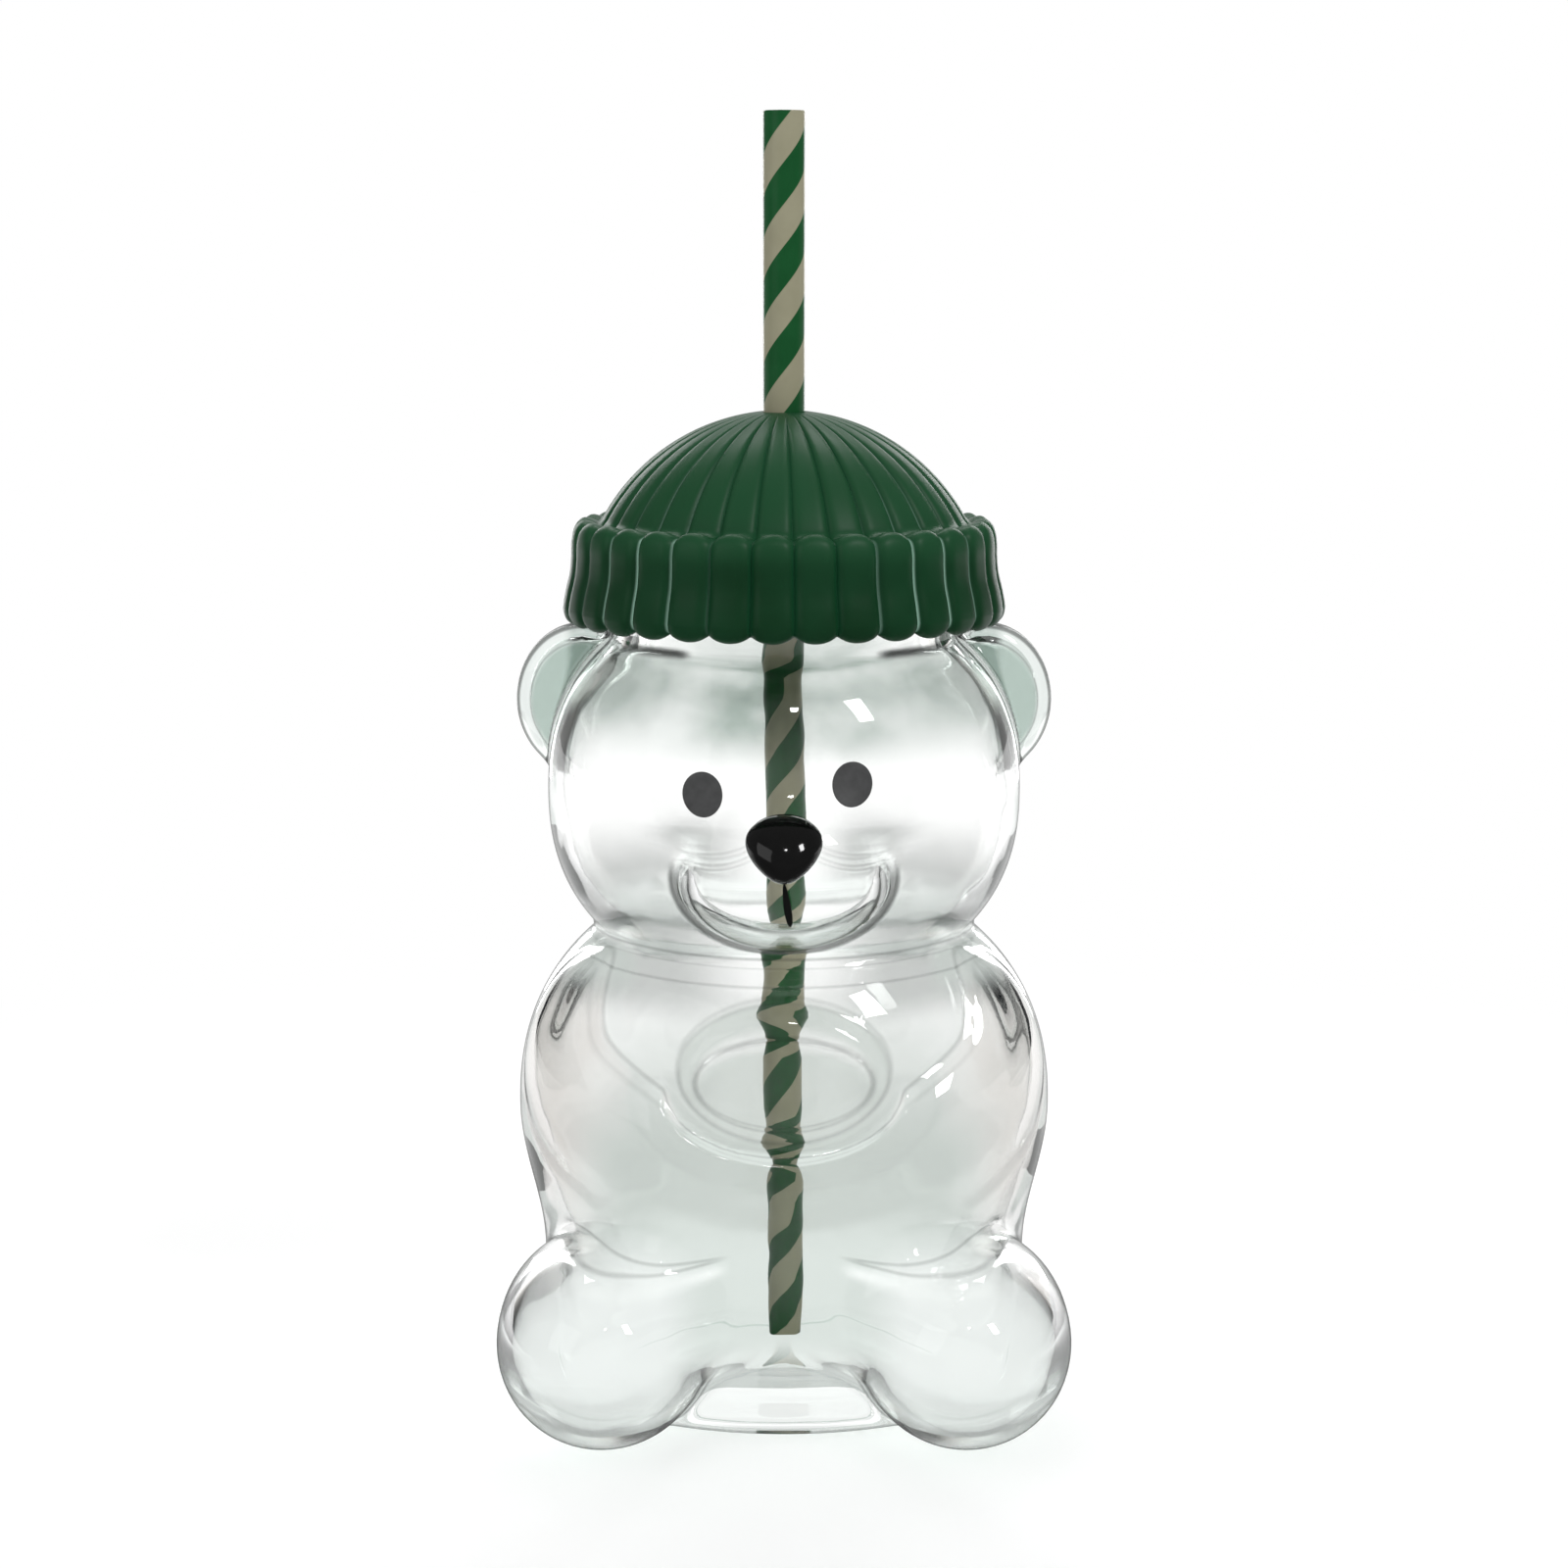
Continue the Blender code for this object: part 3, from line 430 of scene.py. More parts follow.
def rounded_outline(corners, fillet, steps):
    """Closed outline with each corner drawn as a quadratic curve that leaves its two
    sides at the fillet's distance, or at 45 % of a shorter side."""
    corners = np.asarray(corners, dtype=float)
    before = np.roll(corners, 1, 0) - corners
    after = np.roll(corners, -1, 0) - corners
    before_length = np.linalg.norm(before, axis=1)[:, None]
    after_length = np.linalg.norm(after, axis=1)[:, None]
    start = corners + before * np.minimum(fillet / before_length, 0.45)
    end = corners + after * np.minimum(fillet / after_length, 0.45)
    share = np.linspace(0.0, 1.0, steps)[None, :, None]
    curve = (
        start[:, None] * (1.0 - share) ** 2
        + 2.0 * corners[:, None] * share * (1.0 - share)
        + end[:, None] * share ** 2
    )
    return curve.reshape(-1, 2)


def smooth_step(value, start, end):
    """0 up to start, 1 from end, and an S-shaped cubic between, of numbers or a wire."""
    if isinstance(value, Wire):
        return value.step(start, end)
    share = np.clip((value - start) / (end - start), 0.0, 1.0)
    return share * share * (3.0 - 2.0 * share)


def region(ways, name):
    """Share of a region at points or in a finish: the product of its smooth steps."""
    share = 1.0
    for way, start, end in REGIONS[name]:
        rising = smooth_step(ways[way], min(start, end), max(start, end))
        share = (rising if start < end else 1.0 - rising) * share
    return share


def weighted(parts, weights):
    """Sum of named parts, each times its weight."""
    return sum(weight * parts[name] for name, weight in weights.items())


def smooth_least(first, second, blend):
    """Lesser of two fields, rounded off by a parabola over the blend's width."""
    near = np.maximum(blend - np.abs(first - second), 0.0) / blend
    return np.minimum(first, second) - 0.25 * blend * near * near


def swelled_ball(across, along, axis, sizes, squareness):
    """Distance to a swelled ball. Its level is the superellipse sum of an oval in the
    first two directions and the third, and the distance is that level less 1, over the
    level's own slope."""
    oval = np.hypot(across / sizes[0], along / sizes[1]) + 1e-6
    rise = np.abs(axis) / sizes[2] + 1e-6
    level = (oval ** squareness + rise ** squareness) ** (1.0 / squareness)
    oval_slope = np.hypot(across / sizes[0] ** 2, along / sizes[1] ** 2)
    slope = np.hypot(
        oval ** (squareness - 2.0) * oval_slope,
        rise ** (squareness - 1.0) / sizes[2],
    )
    return (level - 1.0) / (level ** (1.0 - squareness) * slope + 1e-9)


def lobe(x, y, z, form, inset):
    """Distance to a lobe with an oval face and its axis along the depth."""
    centre, half_size, squareness = form
    sizes = [size - inset for size in half_size]
    return swelled_ball(x - centre[0], z - centre[1], y - centre[2], sizes, squareness)


def torso_side(x, y, z, inset):
    """Distance to the torso without its floor: an oval section, a superellipse above
    the widest height and a cosine ease to the hips below it."""
    width = TORSO_HALF_WIDTH - inset
    sizes = (width, width * TORSO_DEPTH_SHARE, TORSO_RISE - inset)
    upper = swelled_ball(x, y, z - TORSO_WIDEST_Z, sizes, TORSO_SQUARENESS)
    share = np.clip((TORSO_WIDEST_Z - z) / (TORSO_WIDEST_Z - HIP_Z), 0.0, 1.0)
    ease = 0.5 + 0.5 * np.cos(math.pi * share)
    half_width = HIP_HALF_WIDTH + (TORSO_HALF_WIDTH - HIP_HALF_WIDTH) * ease - inset
    reach = np.hypot(x, y / TORSO_DEPTH_SHARE) + 1e-6
    stretch = np.hypot(x, y / TORSO_DEPTH_SHARE ** 2) / reach + 1e-6
    return np.where(z > TORSO_WIDEST_Z, upper, (reach - half_width) / stretch)


def floored(side, z, floor, corner):
    """A side's distance closed by a floor, with a round corner between them."""
    beside = side + corner
    below = corner - (z - floor)
    outside = np.hypot(np.maximum(beside, 0.0), np.maximum(below, 0.0))
    return outside + np.minimum(np.maximum(beside, below), 0.0) - corner


def arm_line():
    """Middle line of an arm on the unrolled torso: a smooth curve of (arc, height)."""
    knots = np.array(ARM_LINE) * np.array((math.radians(ARM_WRAP), 1.0))
    return through(knots, ARM_STEPS + 1)


def arm_field(x, y, z, proud, inset):
    """Distance to an arm, and how far below its middle line a point lies. The arm is an
    oval bead sunk in the torso: its breadth is measured from the line on the unrolled
    torso, wider below the line, and it closes at both ends as a superellipse. Proud is
    the height over the arm's own middle, and the two paws meet without a cusp."""
    line = arm_line()
    span = np.diff(line, axis=0)
    x = np.sqrt(x * x + PAW_MEETING ** 2)
    arc = np.arctan2(-y / TORSO_DEPTH_SHARE, x) * ARM_WRAP
    offset = np.stack((arc, z), -1)[..., None, :] - line[:-1]
    along = np.clip((offset * span).sum(-1) / (span * span).sum(-1), 0.0, 1.0)
    gap = offset - along[..., None] * span
    distance = np.sqrt((gap * gap).sum(-1))
    nearest = distance.argmin(-1)[..., None]
    aside, along, rise, run = (
        np.take_along_axis(values, nearest, -1)[..., 0]
        for values in (distance, along, span[:, 0] * gap[..., 1], span[:, 1] * gap[..., 0])
    )
    share = (nearest[..., 0] + along) / ARM_STEPS
    rounding = np.maximum(1.0 - np.abs(2.0 * share - 1.0) ** 4, 0.004) ** 0.25
    below = np.where(rise < run, aside, 0.0)
    spread = np.where(rise < run, ARM_LOWER_SPREAD, 1.0)
    breadth = (ARM_BREADTH - inset) * rounding * spread
    thickness = (ARM_THICKNESS - inset) * rounding
    level = np.hypot(aside / breadth, proud / thickness) + 1e-6
    slope = np.hypot(aside / breadth ** 2, proud / thickness ** 2) / level
    return (level - 1.0) / (slope + 1e-9), below


def inside_oval(x, z, middle, half_width, half_height):
    """Distance inwards from an oval's edge."""
    z = z - middle
    oval = np.hypot(x / half_width, z / half_height) + 1e-6
    slope = np.hypot(x / half_width ** 2, z / half_height ** 2) / oval
    return (1.0 - oval) / (slope + 1.0)


def panel_relief(x, y, z):
    """Height of the chest panel: a soft-edged raised oval less its sunk middle, which
    sits lower, so that the frame is broadest at its top."""
    inward = inside_oval(x, z, *PANEL)
    raised = smooth_step(inward, 0.0, PANEL_SLOPE)
    inward = inside_oval(x, z, *DISH)
    sunk = smooth_step(inward, -0.5 * PANEL_SLOPE, 0.5 * PANEL_SLOPE)
    relief = PANEL_RISE * raised - (PANEL_RISE + PANEL_DISH) * sunk
    return np.where(y < 0.0, relief, 0.0)


def bear_forms(points, inset, softness, floor, corner):
    """Distances to torso, arm, head, ear, muzzle and leg, and the arm's own blend. The
    inset draws every form in by the wall."""
    x = np.abs(points[..., 0])
    y = points[..., 1]
    z = points[..., 2]
    torso = floored(torso_side(x, y, z, inset), z, floor, corner)
    if inset == 0.0:
        torso = torso - panel_relief(x, y, z)
    proud = torso_side(x, y, z, 0.0) + ARM_SINK
    ease = ARM_HOLLOW_EASE * (inset > 0.0)
    arm, below = arm_field(x, y, z, proud, inset + ease)
    collar = inside_oval(x, z, COLLAR[0], COLLAR[1] + inset, COLLAR[2] + inset)
    collar = np.where(y < 0.0, collar, -FAR)
    arm = -smooth_least(-arm, -collar, COLLAR_EDGE + softness)
    lowering = smooth_step(below, 0.0, ARM_LOWER_REACH)
    arm_blend = ARM_BLEND + softness + (ARM_LOWER_BLEND - ARM_BLEND) * lowering
    width = HEAD_HALF_WIDTH - inset
    sizes = (width, width * HEAD_DEPTH_SHARE, HEAD_HALF_HEIGHT - inset)
    head = swelled_ball(x, y, z - HEAD_WIDEST_Z, sizes, HEAD_SQUARENESS)
    neck = np.maximum(np.hypot(x, y) - (MOUTH_RADIUS - inset), HEAD_WIDEST_Z - z)
    head = smooth_least(head, neck, COLLAR_BLEND + softness)
    lobes = [lobe(x, y, z, form, inset) for form in (EAR, MUZZLE, LEG)]
    return [torso, arm, head] + lobes + [arm_blend]


def bear_field(points, inset, softness, floor, corner):
    """Distance to the bear: its forms, each melted into the last. The blend is broad at
    the muzzle's top and where the legs come out of the belly."""
    x = np.abs(points[..., 0])
    z = points[..., 2]
    torso, arm, head, ear, muzzle, leg, arm_blend = bear_forms(
        points, inset, softness, floor, corner
    )
    body = smooth_least(torso, arm, arm_blend)
    head = smooth_least(head, ear, EAR_BLEND + 0.3 * softness)
    muzzle_blend = MUZZLE_BLEND + MUZZLE_MELT * smooth_step(z, *MUZZLE_MELT_Z)
    head = smooth_least(head, muzzle, muzzle_blend + softness)
    bear = smooth_least(body, head, NECK_BLEND + softness)
    melting = region({"side": x, "up": z}, "melting_legs")
    leg_blend = LEG_BLEND + (LEG_MELT - LEG_BLEND) * melting
    return smooth_least(bear, leg, leg_blend + softness)


def crease_marks(points):
    """Signed step across each crease of the outside, which is 0 along the crease: one
    form's distance less the other's."""
    forms = bear_forms(points, 0.0, 0.0, 0.0, BASE_CORNER)
    torso, arm, head, ear, muzzle, leg, arm_blend = forms
    body = np.minimum(torso, arm)
    return {
        "arm_crease": np.where(arm_blend > 1.2 * ARM_BLEND, FAR, torso - arm),
        "neck_crease": body - np.minimum(head, muzzle),
        "leg_crease": np.minimum(body, head) - leg,
        "muzzle_crease": head - muzzle,
        "ear_crease": head - ear,
    }


def outer_field(points):
    """Outside of the glass, cut flat where it stands."""
    bear = bear_field(points, 0.0, 0.0, 0.0, BASE_CORNER)
    return -smooth_least(-bear, points[..., 2], SOLE_BLEND)


def inner_field(points):
    """Inside of the glass: softer than the outside, and slightly rippled by blowing."""
    x, y, z = np.moveaxis(points, -1, 0)
    ripple = np.sin(x / 0.0061 + z / 0.0113) + np.sin(y / 0.0072 - z / 0.0087)
    cavity = bear_field(points, WALL, INNER_SOFTNESS, FLOOR_Z, FLOOR_CORNER)
    fade = smooth_step(RIM_Z - z, *RIPPLE_FADE)
    return cavity + RIPPLE * ripple * fade


def sampled(points, field):
    """Field and its slope from four samples at the corners of a tiny tetrahedron."""
    reach = 4e-5
    value = 0.0
    slope = 0.0
    for corner in ((1, -1, -1), (-1, -1, 1), (-1, 1, -1), (1, 1, 1)):
        offset = np.array(corner) * reach
        here = field(points + offset)
        value = value + 0.25 * here
        slope = slope + here[..., None] * offset / (4.0 * reach * reach)
    return value, slope


def crowding(points):
    """Weight that draws grid points to the finest relief: chest, ears and toes."""
    x, y, z = np.moveaxis(points, -1, 0)
    ways = {"side": np.abs(x), "up": z, "front": -y}
    return 1.0 + weighted({name: region(ways, name) for name in CROWDING}, CROWDING)


def settled(points, field, rounds, relax):
    """Pull a grid onto the field's surface by Newton steps along the slope, and space
    it by sliding each point along the surface to its neighbours' weighted middle. The
    first and last rows stay."""
    points = points.copy()
    for _ in range(rounds):
        value, slope = sampled(points[1:-1], field)
        steepness = (slope * slope).sum(-1, keepdims=True) + 1e-9
        pull = np.clip(value, -LONGEST_PULL, LONGEST_PULL)[..., None] * slope / steepness
        normal = slope / np.sqrt(steepness)
        weight = crowding(points)[..., None]
        pulls = points * weight
        around = pulls[:-2] + pulls[2:] + np.roll(pulls[1:-1], 1, 1) + np.roll(pulls[1:-1], -1, 1)
        total = weight[:-2] + weight[2:]
        total = total + np.roll(weight[1:-1], 1, 1) + np.roll(weight[1:-1], -1, 1)
        middle = points[1:-1]
        drift = around / total - middle
        drift -= normal * (drift * normal).sum(-1, keepdims=True)
        points[1:-1] = middle - pull + relax * drift
    return points


def refined(points):
    """Grid with a new row and a new column midway between each two."""
    rows, columns = points.shape[:2]
    taller = np.empty((2 * rows - 1, columns, 3))
    taller[::2] = points
    taller[1::2] = 0.5 * (points[:-1] + points[1:])
    finer = np.empty((2 * rows - 1, 2 * columns, 3))
    finer[:, ::2] = taller
    finer[:, 1::2] = 0.5 * (taller + np.roll(taller, -1, 1))
    return finer


def level_loop(radius, share, height, columns):
    """Level oval loop about the axis, its depth a share of its width."""
    loop = round_about([radius], [height], columns)[0]
    return loop * np.array((1.0, share, 1.0))


def barrel(rows, columns):
    """Swelled barrel that stands round the whole bear."""
    turn = np.linspace(*BARREL_TURN, rows)
    height = BARREL_MIDDLE_Z + BARREL_HALF_HEIGHT * np.sin(turn)
    return round_about(BARREL_RADIUS * np.cos(turn), height, columns)


def fewer_rows(points, rows):
    """Grid with its rows spread anew, each between the two old rows beside it."""
    place = np.linspace(0.0, len(points) - 1.0, rows)
    index = np.minimum(place.astype(int), len(points) - 2)
    share = (place - index)[:, None, None]
    return points[index] * (1.0 - share) + points[index + 1] * share


def wrapped_skins(start, field, foot, top, passes):
    """Skins between a foot loop and a top loop, each (radius, share, height): the start
    settles on the field, is divided, and settles again for each pass."""
    skins = []
    skin = start
    for rounds, relax in passes:
        if skins:
            skin = refined(skin)
        skin[0] = level_loop(*foot, skin.shape[1])
        skin[-1] = level_loop(*top, skin.shape[1])
        skin = settled(skin, field, rounds, relax)
        skin = settled(skin, field, 2, 0.0)
        skins.append(skin)
    return skins


def underside(columns):
    """Foot ring, shallow recess and punt: a level disc raised in two smooth steps."""
    reach = np.linspace(POLE_RADIUS, BASE_RADIUS, UNDERSIDE_ROWS + 1)[:-1]
    recess = 1.0 - smooth_step(reach, FOOT_RING_RADIUS - RECESS_SLOPE, FOOT_RING_RADIUS)
    punt = 1.0 - smooth_step(reach, PUNT_RADIUS - PUNT_SLOPE, PUNT_RADIUS)
    disc = round_about(reach, RECESS_RISE * recess + PUNT_RISE * punt, columns)
    return disc * np.array((1.0, TORSO_DEPTH_SHARE, 1.0))


def inner_floor(columns):
    """Floor inside the cup: a level disc with one low round ring."""
    reach = np.linspace(FLOOR_DISC_RADIUS, POLE_RADIUS, FLOOR_ROWS + 1)[1:]
    ring = np.exp(-((reach - FLOOR_RING_RADIUS) / FLOOR_RING_HALF_WIDTH) ** 2)
    return round_about(reach, FLOOR_Z + FLOOR_RING_RISE * ring, columns)


def build_vessel(finish):
    """Glass: underside, outer skin, rounded rim, inner skin and floor as one surface."""
    rim_radius = MOUTH_RADIUS - 0.5 * WALL
    rim_z = RIM_Z - 0.5 * WALL
    foot = (BASE_RADIUS, TORSO_DEPTH_SHARE, 0.0)
    mouth = (MOUTH_RADIUS, 1.0, rim_z)
    coarse, _, outer = wrapped_skins(
        barrel(*BARREL_GRID), outer_field, foot, mouth, OUTER_PASSES
    )
    floor = (FLOOR_DISC_RADIUS, 1.0, FLOOR_Z)
    bore = (MOUTH_RADIUS - WALL, 1.0, rim_z)
    inner = wrapped_skins(
        fewer_rows(coarse, INNER_ROWS), inner_field, floor, bore, INNER_PASSES
    )[-1]
    fine = outer.shape[1]
    turn = np.linspace(0.0, math.pi, RIM_ROWS + 2)[1:-1]
    rim = round_about(
        rim_radius + 0.5 * WALL * np.cos(turn), rim_z + 0.5 * WALL * np.sin(turn), fine
    )
    below = underside(fine)
    skin = np.concatenate((below, outer, rim, inner[::-1], inner_floor(fine)))
    # Crease marks of the outside, along which the glass's finish paints dark shade lines.
    marks = {}
    for label, values in crease_marks(outer).items():
        marks[label] = np.full(skin.shape[:2], -FAR)
        marks[label][len(below):len(below) + len(outer)] = values
    add_surface("blown_vessel", skin, finish, "glass", ["glass_bear"],
                marks=marks)


def outset_of(points, gap):
    """Points pushed out of the glass until they stand the gap clear of it."""
    points = points.copy()
    for _ in range(8):
        value, slope = sampled(points, outer_field)
        steepness = (slope * slope).sum(-1, keepdims=True) + 1e-9
        points += np.maximum(gap - value, 0.0)[..., None] * slope / steepness
    return points


def front_of(x, z, gap):
    """Depth at which a point (x, z) stands the gap in front of the face."""
    y = np.full(np.shape(x), FACE_START_Y)
    for _ in range(60):
        value = outer_field(np.stack((x, y, z), -1))
        y = y + 0.7 * (value - gap)
    return y


def print_patch(x, z, lift):
    """Grid of a print on the glass, from its places and the lift of each point."""
    y = front_of(x, z, SEAT_GAP) - lift
    return np.stack((x, y, z), -1)


def oval_print(columns):
    """Share of the half size, and share of the thickness, of a thin round-edged disc
    seen as rows from the middle of its back, round its edge, to the middle of its face."""
    turn = np.linspace(-0.5 * math.pi, 0.5 * math.pi, PRINT_EDGE_ROWS + 2)[1:-1]
    spread = np.cos(turn) ** PRINT_ROUNDNESS
    rise = 0.5 + 0.5 * np.sin(turn)
    flat = np.linspace(0.1, 0.9, PRINT_FACE_ROWS)
    still = np.ones(PRINT_FACE_ROWS)
    rows = np.concatenate((flat * spread[0], spread, flat[::-1] * spread[-1]))
    lift = np.concatenate((still * rise[0], rise, still * rise[-1]))
    angle = np.linspace(0.0, math.tau, columns, endpoint=False)
    across = rows[:, None] * np.cos(angle)
    upward = rows[:, None] * np.sin(angle)
    return across, upward, lift[:, None] + 0.0 * angle


def build_eyes(finish):
    """Eyes: thin oval prints wrapped on the face."""
    across, upward, lift = oval_print(64)
    for side, centre_x, centre_z in EYES:
        x = centre_x + EYE_HALF_SIZE[0] * across
        z = centre_z + EYE_HALF_SIZE[1] * upward
        patch = print_patch(x, z, PRINT_THICKNESS * lift)
        add_surface(f"{side}_eye_print", patch, finish, "glass", [f"eye_{side}"])


def build_mouth_line(finish):
    """Mouth: a slim leaning stroke that widens downwards, wrapped on the muzzle."""
    across, upward, lift = oval_print(48)
    down = 0.5 - 0.5 * upward
    half_width = MOUTH_LINE_WIDTHS[0] + (MOUTH_LINE_WIDTHS[1] - MOUTH_LINE_WIDTHS[0]) * down
    x = MOUTH_LINE_LEAN * down + half_width * across
    z = MOUTH_LINE_TOP - MOUTH_LINE_LENGTH * down
    patch = print_patch(x, z, PRINT_THICKNESS * lift)
    add_surface("mouth_stroke", patch, finish, "glass", ["mouth_line"])


def build_nose(finish):
    """Nose: a ball with its poles front and back, narrowed downwards to a rounded
    triangle, leant back with the muzzle and seated on the glass."""
    polar = np.linspace(0.0, math.pi, NOSE_GRID[0] + 2)[1:-1, None]
    angle = np.linspace(0.0, math.tau, NOSE_GRID[1], endpoint=False)
    x = NOSE_HALF_SIZE[0] * np.sin(polar) * np.cos(angle)
    y = NOSE_HALF_SIZE[1] * np.cos(polar) + 0.0 * angle
    z = NOSE_HALF_SIZE[2] * np.sin(polar) * np.sin(angle)
    below = np.clip(0.5 - 0.5 * z / NOSE_HALF_SIZE[2], 0.0, 1.0)
    x = x * (1.0 + NOSE_TAPER * (NOSE_TAPER_BALANCE - below ** NOSE_TAPER_POWER))
    y = y + NOSE_LEAN * z
    nose = np.stack((x, y, z), -1) + np.array(NOSE_CENTRE)
    nose = outset_of(nose, SEAT_GAP)
    add_surface("nose_bead", nose, finish, "glass", ["nose"])


def rib_angles():
    """Column angles, crowded towards the creases by a cosine within each rib."""
    within = 0.5 - 0.5 * np.cos(math.pi * np.arange(RIB_COLUMNS) / RIB_COLUMNS)
    return (np.arange(RIB_COUNT)[:, None] + within).ravel() * math.tau / RIB_COUNT


def rib_fall(angle, squareness):
    """How far a rib has fallen from its crown: 0 on the crown, 1 in the crease."""
    place = angle * RIB_COUNT / math.tau % 1.0
    return np.abs(2.0 * place - 1.0) ** squareness


def through(knots, count):
    """Smooth curve through a few knots: a Catmull-Rom spline, evenly stepped."""
    knots = np.asarray(knots, dtype=float)
    padded = np.vstack((2.0 * knots[0] - knots[1], knots, 2.0 * knots[-1] - knots[-2]))
    place = np.linspace(0.0, len(knots) - 1.0, count)
    index = np.minimum(place.astype(int), len(knots) - 2)
    t = (place - index)[:, None]
    a, b, c, d = (padded[index + step] for step in range(4))
    return 0.5 * (
        2.0 * b + (c - a) * t + (2.0 * a - 5.0 * b + 4.0 * c - d) * t ** 2
        + (3.0 * b - a - 3.0 * c + d) * t ** 3
    )


def lid_profile():
    """Closed profile of the lid, up its outside and down its inside. Each row holds
    radius, height, rib depth, scallop rise and crest fall."""
    bottom = LID_LOW.z
    brim = through(np.array(BRIM_KNOTS) + np.array((0.0, bottom, 0.0, 0.0, 0.0)), BRIM_ROWS)
    foot = math.asin((bottom + DOME_FOOT_RISE - DOME_Z) / DOME_RADIUS)
    crown = math.acos((LID_HOLE_RADIUS + LID_HOLE_EDGE) / DOME_RADIUS)
    turn = np.linspace(foot, crown, DOME_ROWS)
    radius = DOME_RADIUS * np.cos(turn)
    depth = DOME_RIB_DEPTH / BRIM_RIB_DEPTH * smooth_step(radius, *DOME_RIB_FADE)
    still = np.zeros_like(turn)
    dome = np.stack((radius, DOME_Z + DOME_RADIUS * np.sin(turn), depth, still, still), -1)
    inner = DOME_RADIUS - LID_WALL
    start = math.asin((LEDGE_Z - DOME_Z) / inner)
    turn = np.linspace(math.acos(LID_HOLE_RADIUS / inner), start, CEILING_ROWS)
    still = np.zeros_like(turn)
    ceiling = np.stack(
        (inner * np.cos(turn), DOME_Z + inner * np.sin(turn), still, still, still), -1
    )
    skirt = through((
        (LID_INNER_RADIUS, LEDGE_Z, 0.0, 0.0, 0.0),
        (LID_INNER_RADIUS, bottom + 0.0060, 0.0, 0.0, 0.0),
        (LID_INNER_RADIUS, bottom + 0.0012, 0.0, 0.8, 0.0),
    ), SKIRT_ROWS)
    top = DOME_Z + DOME_RADIUS * math.sin(crown)
    bore = np.array((
        (LID_HOLE_RADIUS + 0.0002, top - 0.0001, 0.0, 0.0, 0.0),
        (LID_HOLE_RADIUS, top - 0.0005, 0.0, 0.0, 0.0),
    ))
    return np.concatenate((brim, dome, bore, ceiling, skirt))


def build_lid(finish):
    """Beanie: the profile carried round, each rib falling to its creases, the brim's
    lower edge scalloped and its crest arched, with a fine mould line on the bulge."""
    profile = lid_profile()
    radius, height, depth, scallop, crest = (profile[:, [index]] for index in range(5))
    angle = rib_angles()
    fall = rib_fall(angle, RIB_SQUARENESS)
    hem_fall = rib_fall(angle, HEM_SQUARENESS)
    mould = np.exp(-((height - MOULD_LINE_Z) / MOULD_LINE_HALF_WIDTH) ** 2)
    outside = (depth > 0.5) * 1.0
    reach = radius - BRIM_RIB_DEPTH * depth * fall + MOULD_LINE_RISE * mould * outside
    rise = height + (SCALLOP * scallop - BRIM_ARCH * crest) * hem_fall
    turned = angle + RIB_PHASE - 0.5 * math.pi
    points = np.stack((reach * np.cos(turned), reach * np.sin(turned), rise), -1)
    crease = fall * np.clip(depth, 0.0, 1.0)
    add_surface("ribbed_beanie", points, finish, "lid", ["lid_beanie"],
                rows_meet=True, marks={"crease": crease})


def turned_piece(name, corners, fillet, finish, body, node):
    """Ring-shaped piece: a rounded closed outline carried round the axis."""
    outline = rounded_outline(corners, fillet, 5)
    points = round_about(outline[:, 0], outline[:, 1], 160)
    add_surface(name, points, finish, body, [node], rows_meet=True)


